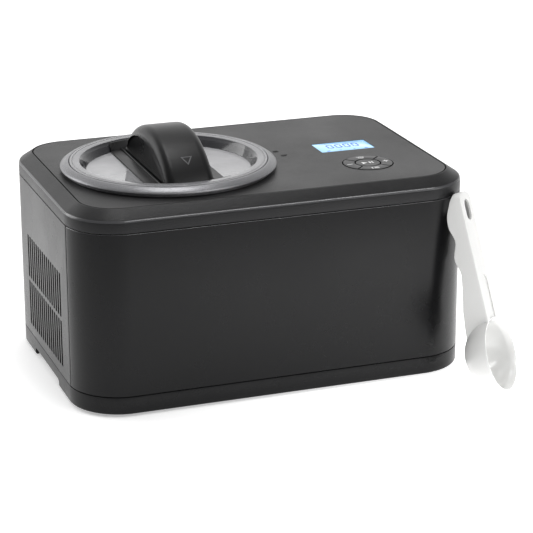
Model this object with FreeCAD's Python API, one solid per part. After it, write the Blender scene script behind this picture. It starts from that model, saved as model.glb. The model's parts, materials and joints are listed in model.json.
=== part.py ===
import FreeCAD, Part
import math
import os

V = FreeCAD.Vector
os.makedirs("parts", exist_ok=True)

# Compressor ice cream maker: a wide rounded box with a round lid over the freezing pot on the left,
# controls on the right, side vents, and its white measuring scoop leaning on the front right corner.
# Millimetres. +X right, +Y to the rear, +Z up. Origin on the worktop, under the middle of the casing.

# ---- driving sizes: casing
CASE_W = 425.0
CASE_D = 290.0
CASE_TOP = 215.0
CORNER_R = 54.0
WALL = 2.5
FOOT_H = 3.0
FOOT_R = 9.5
SKIRT_H = 18.6
COVER_H = 22.0
CHAMFER_DROP = 9.3
CHAMFER_IN = 14.0
SEAM = 0.5
FLOOR_RISE = 8.5
FLOOR_T = 3.0
LIP_T = 2.0
LIP_H = 12.0
WRAP_BACK = 48.0
ARCH_H = 8.0
ARCH_FRONT = -48.0
ARCH_REAR = 52.0
FOOT_FROM_ARCH = 32.0
POST_R = 6.0
POST_IN_X = 37.0
POST_IN_Y = 33.0
SCREW_R = 1.5

# ---- clearances used all over
FIT_GAP = 0.3
RUNNING = 0.05
PRESSED = 0.01

# ---- driving sizes: side vents and mains inlet
VENT_COLS = 16
VENT_PITCH = 8.85
VENT_W = 4.0
VENT_ROWS = ((33.0, 82.6), (87.0, 134.0))
INLET_IN_X = 80.5
INLET_Z = 60.0
INLET_W = 27.0
INLET_H = 20.0
INLET_DEEP = 22.0
INLET_WALL = 2.0
INLET_FLANGE = 5.0
INLET_PIN_PITCH = 7.0

# ---- driving sizes: freezing pot, bowl and lid
POT_IN_X = 135.5
POT_Y = -7.0
BOWL_R = 84.0
BOWL_T = 1.2
BOWL_GAP = 1.0
BOWL_RIM = 6.0
POT_T = 1.5
POT_BOTTOM = 86.0
POT_DROP = 9.0
COIL_R = 4.0
COIL_TURNS = 7
FOAM_T = 14.9
NECK_GAP = 5.0
NECK_T = 4.4
LID_LAND = 8.0
LID_GAP = 0.6
LID_T = 2.0
LID_RISE = 10.0
RING_W = 9.7
RING_FOOT_H = 4.0
RING_RISE = 9.6
RING_TOP_W = 2.3
LEDGE_RISE = 3.5
SEAL_H = 1.9
WELL_RIM_W = 11.2
WELL_SLOPE_W = 6.3
WELL_DROP = 10.4
LUG_COUNT = 3
LUG_HALF = 9.0
CATCH_HALF = 12.0
LOCK_TURN = 30.0
TRAY_HALF = 41.0
GRIP_HALF = 26.0
GRIP_RISE = 47.0
GRIP_R = 101.0
GRIP_EDGE = 8.0
RECESS_R = 105.0
RECESS_BELOW = 16.0
RECESS_SHIFT = 9.0
RECESS_DEEP = 4.0

# ---- driving sizes: drive
SHAFT_R = 5.0
HEX_RISE = 32.0
HEX_H = 15.0
GEAR_MODULE = 1.0
PINION_TEETH = 14
WHEEL_TEETH = 56
PRESSURE_ANGLE = 20.0
BACKLASH = 0.12
GEAR_T = 7.0
MID_ANGLE = 20.0
MOTOR_ANGLE = 70.0
GEARBOX_H = 24.0
GEARBOX_DROP = 14.0
GEARBOX_WALL = 2.5
PIN_R = 2.0
PADDLE_GAP = 2.8
PADDLE_T = 5.0
MOTOR_R = 28.0
MOTOR_H = 30.0

# ---- driving sizes: cooling
COMP_R = 46.0
COMP_GAP = 12.5
COMP_BEHIND = 16.5
COMP_TOP = 152.0
GROMMET_H = 10.0
COND_W = 124.0
COND_H = 108.0
COND_T = 24.0
COND_Z = 26.0
COND_ROWS = 5
COND_TUBE_R = 3.7
FIN_COUNT = 22
FAN_R = 46.0
FAN_BLADES = 7
SHROUD_T = 22.0

# ---- driving sizes: controls
LCD_IN_X = 89.0
LCD_Y = 6.3
LCD_W = 61.0
LCD_D = 34.0
KEY_Y = -64.0
KEY_R = 27.0
KEY_MID_R = 13.5
KEY_GAP = 1.0
KEY_RAISE = 0.4
KEY_TRAVEL = 1.2
BOARD_DROP = 15.0

# ---- driving sizes: measuring scoop
SCOOP_R = 38.6
SCOOP_DEEP = 37.4
SCOOP_T = 2.0
SCOOP_TIP = 171.4
SCOOP_HALF = 14.7
SCOOP_LEAN = 19.1
SCOOP_ROLL = 9.5
SCOOP_TURN = -44.2
SCOOP_BEARING = -61.4
SCOOP_REACH = 71.3

# ---- worked out from the sizes above: casing
HALF_W = CASE_W / 2
HALF_D = CASE_D / 2
BASE_TOP = FOOT_H + SKIRT_H
FLOOR_Z = FOOT_H + FLOOR_RISE
FLOOR_TOP = FLOOR_Z + FLOOR_T
COVER_BOTTOM = CASE_TOP - COVER_H
CHAMFER_BOTTOM = CASE_TOP - CHAMFER_DROP
COVER_IN = CASE_TOP - 3.0
WRAP_Y = -HALF_D + WRAP_BACK
INLET_X = -HALF_W + INLET_IN_X

# ---- worked out: pot, bowl and lid
POT_X = -HALF_W + POT_IN_X
POT_R = BOWL_R + BOWL_GAP
POT_WALL_R = POT_R + POT_T
POT_TOP = CASE_TOP - POT_DROP
COIL_RING_R = POT_WALL_R + FIT_GAP + COIL_R
FOAM_IN_R = COIL_RING_R + COIL_R + FIT_GAP
FOAM_R = FOAM_IN_R + FOAM_T
NECK_R = BOWL_R + BOWL_RIM + NECK_GAP
NECK_OUT_R = NECK_R + NECK_T
LID_R = NECK_R + LID_LAND
RING_R = LID_R + RING_W
RING_TOP = CASE_TOP + RING_RISE
LID_TOP = CASE_TOP + LID_RISE
LEDGE_Z = CASE_TOP + LEDGE_RISE
WELL_R = LID_R - WELL_RIM_W
WELL_FLOOR_R = WELL_R - WELL_SLOPE_W
WELL_FLOOR_Z = LID_TOP - WELL_DROP
GRIP_TOP = CASE_TOP + GRIP_RISE

# ---- worked out: drive
HEX_BOTTOM = POT_BOTTOM + HEX_RISE
SHAFT_TOP = HEX_BOTTOM + HEX_H
PADDLE_R = BOWL_R - BOWL_T - PADDLE_GAP
CASE_HIGH = POT_BOTTOM - GEARBOX_DROP
CASE_LOW = CASE_HIGH - GEARBOX_H
STAGE_LOW = CASE_LOW + 5
STAGE_HIGH = STAGE_LOW + GEAR_T + 2
GEAR_CENTRES = GEAR_MODULE * (PINION_TEETH + WHEEL_TEETH) / 2

# ---- worked out: cooling and controls
COMP_X = POT_X + FOAM_R + COMP_R + COMP_GAP
COMP_Y = HALF_D - WALL - COMP_R - COMP_BEHIND
COND_X1 = HALF_W - WALL - 4
COND_X0 = COND_X1 - COND_T
COND_X = (COND_X0 + COND_X1) / 2
SHROUD_X1 = COND_X0 - FIT_GAP
SHROUD_X0 = SHROUD_X1 - SHROUD_T
FAN_Z = COND_Z + COND_H / 2
LCD_X = HALF_W - LCD_IN_X
KEY_X = LCD_X
BOARD_Z = CASE_TOP - BOARD_DROP


def box(x0, x1, y0, y1, z0, z1):
    return Part.makeBox(x1 - x0, y1 - y0, z1 - z0, V(x0, y0, z0))


def rod(x, y, z0, z1, r):
    return Part.makeCylinder(r, z1 - z0, V(x, y, z0))


def rod_x(x0, x1, y, z, r):
    return Part.makeCylinder(r, x1 - x0, V(x0, y, z), V(1, 0, 0))


def tube(x, y, z0, z1, r_in, r_out):
    return rod(x, y, z0, z1, r_out).cut(rod(x, y, z0 - 1, z1 + 1, r_in))


def fuse(shapes):
    whole = shapes[0]
    for shape in shapes[1:]:
        whole = whole.fuse(shape)
    return whole.removeSplitter()


def turned(shape, degrees, x=0.0, y=0.0):
    copy = shape.copy()
    copy.rotate(V(x, y, 0), V(0, 0, 1), degrees)
    return copy


def moved(shape, x=0.0, y=0.0, z=0.0):
    copy = shape.copy()
    copy.translate(V(x, y, z))
    return copy


def lathe(profile, x, y):
    """Turns a closed outline of (radius, height) points about the vertical axis at x, y."""
    points = [V(r, 0, z) for r, z in profile]
    face = Part.Face(Part.makePolygon(points + [points[0]]))
    return moved(face.revolve(V(0, 0, 0), V(0, 0, 1), 360), x, y)


def prism(outline, z0, z1):
    points = [V(x, y, z0) for x, y in outline]
    return Part.Face(Part.makePolygon(points + [points[0]])).extrude(V(0, 0, z1 - z0))


def round_wire(w, d, r, z):
    """A rounded rectangle about the origin, as one closed wire at height z."""
    edges = []
    corners = ((w / 2 - r, d / 2 - r, 0), (r - w / 2, d / 2 - r, 90), (r - w / 2, r - d / 2, 180),
               (w / 2 - r, r - d / 2, 270))
    arcs = []
    for x, y, start in corners:
        ring = [V(x + r * math.cos(math.radians(a)), y + r * math.sin(math.radians(a)), z)
                for a in (start, start + 45, start + 90)]
        arcs.append(ring)
    for number, ring in enumerate(arcs):
        edges.append(Part.Arc(*ring).toShape())
        edges.append(Part.LineSegment(ring[2], arcs[(number + 1) % 4][0]).toShape())
    return Part.Wire(edges)


def round_block(w, d, r, z0, z1):
    return Part.Face(round_wire(w, d, r, z0)).extrude(V(0, 0, z1 - z0))


def case_block(inset, z0, z1):
    """The casing's outline, drawn in by inset, as a block from z0 to z1."""
    return round_block(CASE_W - 2 * inset, CASE_D - 2 * inset, CORNER_R - inset, z0, z1)


def case_ring(inset, thickness, z0, z1):
    return case_block(inset, z0, z1).cut(case_block(inset + thickness, z0 - 1, z1 + 1))


def polar(x, y, r, degrees):
    return x + r * math.cos(math.radians(degrees)), y + r * math.sin(math.radians(degrees))


def sector(x, y, r, half, middle, z0, z1):
    """A wedge about the axis at x, y that reaches out to r, half degrees each side of middle."""
    far = r / math.cos(math.radians(half))
    ends = [polar(x, y, far, middle - half), polar(x, y, far, middle + half)]
    return prism([(x, y)] + ends, z0, z1)


def save(name, shape):
    solids = shape if isinstance(shape, list) else [shape]
    pieces = [solid for one in solids for solid in one.Solids]
    Part.makeCompound(pieces).exportStep("parts/" + name + ".step")


def vent_slots(side):
    """The cutters of one side wall's vent slots; side is -1 for the left wall and 1 for the right."""
    cutters = []
    first = -VENT_PITCH * (VENT_COLS - 1) / 2
    for z0, z1 in VENT_ROWS:
        for column in range(VENT_COLS):
            y = first + column * VENT_PITCH
            x0, x1 = sorted((side * (HALF_W + 1), side * (HALF_W - WALL - 1)))
            cutters.append(box(x0, x1, y - VENT_W / 2, y + VENT_W / 2, z0, z1))
    return cutters


def post_places():
    x, y = HALF_W - POST_IN_X, HALF_D - POST_IN_Y
    return [(sx * x, sy * y) for sx in (-1, 1) for sy in (-1, 1)]


# ---------------------------------------------------------------- casing
def base_tray():
    skirt = case_ring(0, WALL + 0.5, FOOT_H, BASE_TOP)
    floor = case_block(WALL, FLOOR_Z, FLOOR_TOP)
    lip = case_ring(WALL + FIT_GAP, LIP_T, FLOOR_TOP, BASE_TOP + LIP_H)
    step = case_ring(WALL, FIT_GAP + 0.5, FLOOR_TOP, BASE_TOP)
    arch = box(-HALF_W - 1, HALF_W + 1, ARCH_FRONT, ARCH_REAR, FOOT_H - 1, FOOT_H + ARCH_H)
    tray = fuse([skirt, floor, lip, step]).cut(arch)
    vents = []
    for number in range(-4, 5):
        y = COMP_Y + number * 10
        vents.append(box(COMP_X - 40, COMP_X + 40, y - 2, y + 2, FLOOR_Z - 1, FLOOR_TOP + 1))
    holes = [rod(x, y, FLOOR_Z - 1, FLOOR_TOP + 1, SCREW_R + 0.2) for x, y in post_places()]
    return tray.cut(Part.makeCompound(vents + holes))


def rubber_feet():
    feet = []
    for sx in (-1, 1):
        for y in (ARCH_FRONT - FOOT_FROM_ARCH, ARCH_REAR + FOOT_FROM_ARCH):
            pad = lathe([(0, 0), (FOOT_R - 1.5, 0), (FOOT_R, 1.2), (FOOT_R, FLOOR_Z), (0, FLOOR_Z)],
                        sx * (HALF_W - FOOT_R - 7.5), y)
            feet.append(pad)
    return feet


def front_panel():
    shell = case_ring(0, WALL, BASE_TOP + SEAM, COVER_BOTTOM - SEAM)
    return shell.common(box(-HALF_W - 1, HALF_W + 1, -HALF_D - 1, WRAP_Y, 0, CASE_TOP))


def rear_housing():
    shell = case_ring(0, WALL, BASE_TOP + SEAM, COVER_BOTTOM - SEAM)
    shell = shell.common(box(-HALF_W - 1, HALF_W + 1, WRAP_Y + SEAM, HALF_D + 1, 0, CASE_TOP))
    cutters = vent_slots(-1) + vent_slots(1)
    half_w, half_h = INLET_W / 2 + INLET_WALL + FIT_GAP, INLET_H / 2 + INLET_WALL + FIT_GAP
    cutters.append(box(INLET_X - half_w, INLET_X + half_w, HALF_D - WALL - 1, HALF_D + 1,
                       INLET_Z - half_h, INLET_Z + half_h))
    return shell.cut(Part.makeCompound(cutters))


def side_seam_strips():
    """The joining strips behind the two upright seams between the front panel and the rear housing."""
    strips = []
    for side in (-1, 1):
        x0, x1 = sorted((side * (HALF_W - WALL - FIT_GAP), side * (HALF_W - WALL - FIT_GAP - 2)))
        strips.append(box(x0, x1, WRAP_Y + 2, WRAP_Y + 16, BASE_TOP + LIP_H + 2, COVER_BOTTOM - LIP_H - 2))
    return strips


def chamfered(inset, z0, chamfer_z, z1):
    """The casing's outline, drawn in by inset, from z0 to z1, with the cover's chamfer from chamfer_z up."""
    block = case_block(inset, z0, z1)
    top = [edge for edge in block.Edges if edge.BoundBox.ZMin > z1 - 0.01]
    drop = z1 - chamfer_z
    return block.makeChamfer(drop, CHAMFER_IN * drop / (CASE_TOP - CHAMFER_BOTTOM), top)


def top_cover():
    lip = case_ring(WALL + FIT_GAP, LIP_T, COVER_BOTTOM - LIP_H, CHAMFER_BOTTOM - 1)
    link = case_ring(WALL, FIT_GAP + 0.5, COVER_BOTTOM, CHAMFER_BOTTOM - 1)
    shell = chamfered(0, COVER_BOTTOM, CHAMFER_BOTTOM, CASE_TOP)
    shell = shell.cut(chamfered(WALL, COVER_BOTTOM - 1, CHAMFER_BOTTOM - 1, COVER_IN))
    cover = fuse([shell, lip, link])
    openings = [rod(POT_X, POT_Y, COVER_IN - 5, CASE_TOP + 1, NECK_OUT_R + FIT_GAP),
                rod(KEY_X, KEY_Y, COVER_IN - 5, CASE_TOP + 1, KEY_R),
                box(LCD_X - LCD_W / 2, LCD_X + LCD_W / 2, LCD_Y - LCD_D / 2, LCD_Y + LCD_D / 2,
                    COVER_IN - 5, CASE_TOP + 1)]
    return cover.cut(Part.makeCompound(openings))


def corner_posts():
    bore = SCREW_R + RUNNING
    return [tube(x, y, FLOOR_TOP, COVER_IN, bore, POST_R) for x, y in post_places()]


def base_screws():
    screws = []
    for x, y in post_places():
        head = rod(x, y, FLOOR_Z - 2, FLOOR_Z, 2 * SCREW_R)
        screws.append(head.fuse(rod(x, y, FLOOR_Z, FLOOR_TOP + 20, SCREW_R)))
    return screws


# ---------------------------------------------------------------- lid and ring
def lid_ring():
    outer = NECK_OUT_R
    foot_r = RING_R - 4
    ring = lathe([(NECK_R, POT_TOP), (outer, POT_TOP), (outer, CASE_TOP), (foot_r, CASE_TOP),
                  (foot_r, CASE_TOP + RING_FOOT_H), (RING_R, CASE_TOP + RING_FOOT_H),
                  (RING_R, CASE_TOP + RING_FOOT_H + 1.4), (LID_R + RING_TOP_W, RING_TOP),
                  (LID_R + LID_GAP, RING_TOP),
                  (LID_R + LID_GAP, LEDGE_Z), (NECK_R, LEDGE_Z)], POT_X, POT_Y)
    catch_r = NECK_R - 3
    catches = tube(POT_X, POT_Y, POT_TOP + 5.5, POT_TOP + 7.5, catch_r, NECK_R + 1)
    pieces = [ring]
    for number in range(LUG_COUNT):
        middle = number * 360.0 / LUG_COUNT - LOCK_TURN
        wedge = sector(POT_X, POT_Y, NECK_R + 2, CATCH_HALF, middle, POT_TOP, LEDGE_Z)
        pieces.append(catches.common(wedge))
    return fuse(pieces)


def lid_gasket():
    return tube(POT_X, POT_Y, LEDGE_Z + 0.1, LEDGE_Z + SEAL_H, NECK_R + 1.5, LID_R - 1)


def clear_lid():
    under = LEDGE_Z + SEAL_H + 0.2
    skirt_in, skirt_out = NECK_R - 5.8, NECK_R - 3.8
    low = POT_TOP + 2.3
    body = lathe([(0, WELL_FLOOR_Z), (0, WELL_FLOOR_Z - LID_T), (WELL_FLOOR_R + 0.9, WELL_FLOOR_Z - LID_T),
                  (skirt_in, WELL_FLOOR_Z + 0.6), (skirt_in, low), (skirt_out, low), (skirt_out, under - 2.4),
                  (WELL_R, under), (LID_R, under), (LID_R, LID_TOP - 0.6), (LID_R - 0.6, LID_TOP),
                  (WELL_R + 1.2, LID_TOP), (WELL_R, LID_TOP - 0.5), (WELL_FLOOR_R, WELL_FLOOR_Z)],
                 POT_X, POT_Y)
    lugs = tube(POT_X, POT_Y, low + 0.3, POT_TOP + 5.1, skirt_in + 0.5, NECK_R - 0.5)
    pieces = [body]
    for number in range(LUG_COUNT):
        wedge = sector(POT_X, POT_Y, NECK_R, LUG_HALF, number * 360.0 / LUG_COUNT, POT_TOP, LEDGE_Z)
        pieces.append(lugs.common(wedge))
    return fuse(pieces)


def well_cone(inset, z0, z1):
    """The space inside the lid's sloping well wall, drawn in by inset, from z0 to z1."""
    slope = WELL_SLOPE_W / (WELL_DROP - 0.5)
    r0 = WELL_FLOOR_R + slope * (z0 - WELL_FLOOR_Z) - inset
    r1 = WELL_FLOOR_R + slope * (z1 - WELL_FLOOR_Z) - inset
    return moved(Part.makeCone(r0, r1, z1 - z0), POT_X, POT_Y, z0)


def lid_tray():
    z0 = WELL_FLOOR_Z + 0.1
    outside = well_cone(0.3, z0, LID_TOP - 1)
    inside = well_cone(1.9, z0 + 1.5, LID_TOP + 1)
    band = box(POT_X - TRAY_HALF, POT_X + TRAY_HALF, POT_Y - LID_R, POT_Y + LID_R, 0, GRIP_TOP)
    return outside.cut(inside).common(band)


def arc_slab(radius, top, shift, z0, half):
    """A slab across the lid, half wide each side, whose top follows an arc over the lid's middle."""
    centre = top - radius
    reach = math.sqrt(radius ** 2 - (z0 - centre) ** 2)
    left, right = V(0, shift - reach, z0), V(0, shift + reach, z0)
    arc = Part.Arc(left, V(0, shift, top), right).toShape()
    face = Part.Face(Part.Wire([arc, Part.LineSegment(right, left).toShape()]))
    return moved(face.extrude(V(2 * half, 0, 0)), POT_X - half, POT_Y)


def lid_handle():
    z0 = WELL_FLOOR_Z + 1.7
    grip = arc_slab(GRIP_R, GRIP_TOP, 0, z0, GRIP_HALF)
    rims = [edge for edge in grip.Edges if edge.Curve.TypeId == "Part::GeomCircle"]
    grip = grip.makeFillet(GRIP_EDGE, rims)
    grip = grip.common(well_cone(2.2, z0, GRIP_TOP + 1))
    recess = arc_slab(RECESS_R, GRIP_TOP - RECESS_BELOW, RECESS_SHIFT, z0 + 3, GRIP_HALF + 1)
    keep = box(POT_X - GRIP_HALF + RECESS_DEEP, POT_X + GRIP_HALF - RECESS_DEEP, -HALF_D, HALF_D, 0, GRIP_TOP)
    inside = arc_slab(GRIP_R - 3, GRIP_TOP - 3, 0, z0 - 1, GRIP_HALF - RECESS_DEEP - 3)
    inside = inside.common(box(-HALF_W, HALF_W, POT_Y - 70, POT_Y + 70, 0, GRIP_TOP))
    return grip.cut(recess.cut(keep)).cut(inside)


# ---------------------------------------------------------------- freezing pot, bowl and paddle
def evaporator_pot():
    wall = POT_WALL_R
    flange = NECK_OUT_R - 0.4
    seat = SHAFT_R + 3 + RUNNING
    return lathe([(seat, POT_BOTTOM), (wall, POT_BOTTOM), (wall, POT_TOP - POT_T), (flange, POT_TOP - POT_T),
                  (flange, POT_TOP), (POT_R, POT_TOP), (POT_R, POT_BOTTOM + POT_T),
                  (seat, POT_BOTTOM + POT_T)], POT_X, POT_Y)


def evaporator_coil():
    ring_r = COIL_RING_R
    pitch = (POT_TOP - POT_BOTTOM - 40) / (COIL_TURNS - 1)
    rings = [moved(Part.makeTorus(ring_r, COIL_R), POT_X, POT_Y, POT_BOTTOM + 14 + n * pitch)
             for n in range(COIL_TURNS)]
    top = POT_BOTTOM + 14 + (COIL_TURNS - 1) * pitch
    header = rod(POT_X + ring_r, POT_Y, POT_BOTTOM + 14, top, COIL_R * 0.8)
    return fuse(rings + [header])


def pot_insulation():
    low = POT_BOTTOM - 9
    bottom_hole = SHAFT_R + 8
    cup = lathe([(bottom_hole, low), (FOAM_R, low), (FOAM_R, POT_TOP - 6), (FOAM_IN_R, POT_TOP - 6),
                 (FOAM_IN_R, POT_BOTTOM - FIT_GAP), (bottom_hole, POT_BOTTOM - FIT_GAP)], POT_X, POT_Y)
    return cup.cut(pipe_cutter())


def bowl():
    low = POT_BOTTOM + POT_T + 1.5
    rim_z = POT_TOP + FIT_GAP
    hub_in, hub_out = SHAFT_R + 4.5, SHAFT_R + 6
    hub_top = HEX_BOTTOM + 10
    t = BOWL_T
    return lathe([(hub_in, low), (BOWL_R - 8, low), (BOWL_R - 2.4, low + 2.4), (BOWL_R, low + 8),
                  (BOWL_R, rim_z), (BOWL_R + BOWL_RIM, rim_z), (BOWL_R + BOWL_RIM, rim_z + t),
                  (BOWL_R - t, rim_z + t),
                  (BOWL_R - t, low + 8), (BOWL_R - 3.3, low + 3.4), (BOWL_R - 8, low + t),
                  (hub_out + 8, low + t), (hub_out + 1, low + 9), (hub_out, hub_top), (hub_in, hub_top)],
                 POT_X, POT_Y)


def hexagon(corner_r, z0, z1):
    return prism([polar(POT_X, POT_Y, corner_r, angle) for angle in range(0, 360, 60)], z0, z1)


def mixing_paddle():
    low = POT_BOTTOM + POT_T + 6
    high = POT_TOP - 16
    hub_top = SHAFT_TOP + 9
    hub_in = SHAFT_R + 8
    sleeve = tube(POT_X, POT_Y, low + 6, hub_top, hub_in, hub_in + 3)
    cap = rod(POT_X, POT_Y, HEX_BOTTOM + 12, hub_top, hub_in + 1)
    stem = rod(POT_X, POT_Y, hub_top - 1, high, 7)
    pieces = [sleeve, cap, stem]
    half = PADDLE_T / 2
    for side in (-1, 1):
        bars = []
        for x0, x1, z0, z1 in ((hub_in + 1, PADDLE_R, low + 6, low + 15), (PADDLE_R - 7, PADDLE_R, low, high),
                               (5, PADDLE_R, high - 8, high), (42, 49, low + 6, high)):
            bars.append(box(x0, x1, -half, half, z0, z1))
        arm = moved(fuse(bars), POT_X, POT_Y)
        pieces.append(arm if side > 0 else turned(arm, 180, POT_X, POT_Y))
    return fuse(pieces).cut(hexagon(SHAFT_R + FIT_GAP, HEX_BOTTOM, SHAFT_TOP + FIT_GAP))


# ---------------------------------------------------------------- drive
MID_X, MID_Y = polar(POT_X, POT_Y, GEAR_CENTRES, MID_ANGLE)
MOT_X, MOT_Y = polar(MID_X, MID_Y, GEAR_CENTRES, MOTOR_ANGLE)


def gear(x, y, teeth, z0, z1, phase, bore):
    """A spur gear with involute flanks; phase is the angle of the middle of its first tooth."""
    pitch_r = GEAR_MODULE * teeth / 2
    base_r = pitch_r * math.cos(math.radians(PRESSURE_ANGLE))
    tip_r = pitch_r + 0.9 * GEAR_MODULE
    root_r = pitch_r - 1.2 * GEAR_MODULE

    def involute(r):
        a = math.acos(min(1.0, base_r / r))
        return math.tan(a) - a

    half_tooth = math.pi / (2 * teeth) - BACKLASH / pitch_r / 2 + involute(pitch_r)
    outline = []
    for tooth in range(teeth):
        middle = math.radians(phase) + tooth * 2 * math.pi / teeth
        radii = [root_r, max(base_r, root_r), (pitch_r + base_r) / 2, pitch_r, (pitch_r + tip_r) / 2, tip_r]
        flank = [(r, half_tooth - involute(max(r, base_r))) for r in radii]
        for r, a in flank:
            outline.append((x + r * math.cos(middle - a), y + r * math.sin(middle - a)))
        for r, a in reversed(flank):
            outline.append((x + r * math.cos(middle + a), y + r * math.sin(middle + a)))
    wheel = prism(outline, z0, z1)
    return wheel.cut(rod(x, y, z0 - 1, z1 + 1, bore))


def phase_against(angle, teeth):
    """The phase that puts a gap of a gear with that many teeth on the line at angle."""
    return angle + 180.0 / teeth


def output_gear():
    return gear(POT_X, POT_Y, WHEEL_TEETH, STAGE_LOW, STAGE_LOW + GEAR_T, MID_ANGLE, SHAFT_R + PRESSED)


def mid_gear():
    bore = PIN_R + RUNNING
    small = gear(MID_X, MID_Y, PINION_TEETH, STAGE_LOW - 0.5, STAGE_HIGH,
                 phase_against(MID_ANGLE + 180, PINION_TEETH), bore)
    large = gear(MID_X, MID_Y, WHEEL_TEETH, STAGE_HIGH, STAGE_HIGH + GEAR_T - 1, MOTOR_ANGLE, bore)
    return fuse([small, large])


def mid_gear_pin():
    return rod(MID_X, MID_Y, CASE_LOW + GEARBOX_WALL, CASE_HIGH - GEARBOX_WALL, PIN_R)


def motor_pinion():
    return gear(MOT_X, MOT_Y, PINION_TEETH, STAGE_HIGH - 0.5, STAGE_HIGH + GEAR_T,
                phase_against(MOTOR_ANGLE + 180, PINION_TEETH), PIN_R + PRESSED)


def motor_shaft():
    return rod(MOT_X, MOT_Y, CASE_LOW - MOTOR_H + 3, STAGE_HIGH + GEAR_T, PIN_R)


def drive_motor():
    low = CASE_LOW - MOTOR_H
    can = rod(MOT_X, MOT_Y, low, CASE_LOW, MOTOR_R)
    return can.cut(rod(MOT_X, MOT_Y, low + 2.5, CASE_LOW + 1, PIN_R + RUNNING))


def gear_outline(margin, z0, z1):
    """The space round the three gear axes that the gearbox walls follow."""
    wheel = GEAR_MODULE * WHEEL_TEETH / 2 + margin
    return fuse([rod(POT_X, POT_Y, z0, z1, wheel), rod(MID_X, MID_Y, z0, z1, wheel),
                 rod(MOT_X, MOT_Y, z0, z1, MOTOR_R / 2 + margin)])


def gearbox_case():
    body = gear_outline(3 + GEARBOX_WALL, CASE_LOW, CASE_HIGH - GEARBOX_WALL)
    body = body.cut(gear_outline(3, CASE_LOW + GEARBOX_WALL, CASE_HIGH))
    body = body.fuse(tube(POT_X, POT_Y, CASE_LOW, STAGE_LOW - 0.5, SHAFT_R + RUNNING, SHAFT_R + 3))
    body = body.cut(rod(MOT_X, MOT_Y, CASE_LOW - 1, CASE_LOW + 3, PIN_R + 1))
    body = body.cut(rod(POT_X, POT_Y, CASE_LOW - 1, STAGE_LOW, SHAFT_R + RUNNING))
    legs = []
    for x, y in ((POT_X - 22, POT_Y - 15), (POT_X - 10, POT_Y + 24), (POT_X + 15, POT_Y - 23),
                 (MID_X + 26, MID_Y - 8)):
        legs.append(rod(x, y, FLOOR_TOP, CASE_LOW, 4))
    return fuse([body] + legs)


def gearbox_lid():
    lid = gear_outline(3 + GEARBOX_WALL, CASE_HIGH - GEARBOX_WALL, CASE_HIGH)
    return lid.cut(rod(POT_X, POT_Y, CASE_HIGH - 3, CASE_HIGH + 1, SHAFT_R + RUNNING))


def drive_shaft():
    body = rod(POT_X, POT_Y, CASE_LOW + 0.3, HEX_BOTTOM, SHAFT_R)
    return body.fuse(hexagon(SHAFT_R, HEX_BOTTOM, SHAFT_TOP))


def shaft_bush():
    low = POT_BOTTOM - 8
    outer = SHAFT_R + 3
    return tube(POT_X, POT_Y, low, POT_BOTTOM + 4, SHAFT_R + RUNNING, outer)


def shaft_seal():
    return tube(POT_X, POT_Y, CASE_HIGH + 0.1, POT_BOTTOM - 8.1, SHAFT_R + RUNNING, SHAFT_R + 4)


# ---------------------------------------------------------------- cooling
def pipe(points, r):
    """A tube of straight runs through the points, with round joints."""
    pieces = []
    for a, b in zip(points, points[1:]):
        start, end = V(*a), V(*b)
        pieces.append(Part.makeCylinder(r, (end - start).Length, start, end - start))
    pieces += [Part.makeSphere(r, V(*p)) for p in points[1:-1]]
    return fuse(pieces)


def coil_exit():
    return POT_X + POT_R + POT_T + FIT_GAP + COIL_R, POT_Y


def suction_points():
    x, y = coil_exit()
    z = POT_BOTTOM + 14
    return [(x + COIL_R + FIT_GAP, y, z), (COMP_X, y, z), (COMP_X, COMP_Y - COMP_R - FIT_GAP, z)]


def pipe_cutter():
    x0, y0, z0 = suction_points()[0]
    return rod_x(x0 - 5, FOAM_R + POT_X + 5, y0, z0, 4)


def compressor():
    low = FLOOR_TOP + GROMMET_H + 3
    seam = (low + COMP_TOP) / 2
    return lathe([(0, low), (COMP_R - 16, low), (COMP_R - 3, low + 12), (COMP_R, seam - 4),
                  (COMP_R + 2, seam - 4), (COMP_R + 2, seam + 4), (COMP_R, seam + 4),
                  (COMP_R - 4, COMP_TOP - 14), (COMP_R - 18, COMP_TOP - 2), (0, COMP_TOP)], COMP_X, COMP_Y)


def compressor_plate():
    half = COMP_R - 2
    low = FLOOR_TOP + GROMMET_H
    plate = box(COMP_X - half, COMP_X + half, COMP_Y - half, COMP_Y + half, low, low + 3)
    holes = [rod(x, y, low - 1, low + 4, 3 + FIT_GAP) for x, y in grommet_places()]
    return plate.cut(Part.makeCompound(holes))


def grommet_places():
    half = COMP_R - 10
    return [(COMP_X + sx * half, COMP_Y + sy * half) for sx in (-1, 1) for sy in (-1, 1)]


def compressor_grommets():
    neck = FLOOR_TOP + GROMMET_H
    return [rod(x, y, FLOOR_TOP, neck, 7).fuse(rod(x, y, neck, neck + 5, 3)) for x, y in grommet_places()]


def condenser_fins():
    pitch = COND_W / (FIN_COUNT - 1)
    start = -COND_W / 2
    holes = []
    for row in range(COND_ROWS):
        z = COND_Z + (row + 0.5) * COND_H / COND_ROWS
        holes.append(Part.makeCylinder(COND_TUBE_R + FIT_GAP, 2, V(COND_X, start - 1, z), V(0, 1, 0)))
    blank = box(COND_X0, COND_X1, start - 0.3, start + 0.3, COND_Z, COND_Z + COND_H)
    fin = blank.cut(Part.makeCompound(holes))
    return [moved(fin, y=number * pitch) for number in range(FIN_COUNT)]


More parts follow.
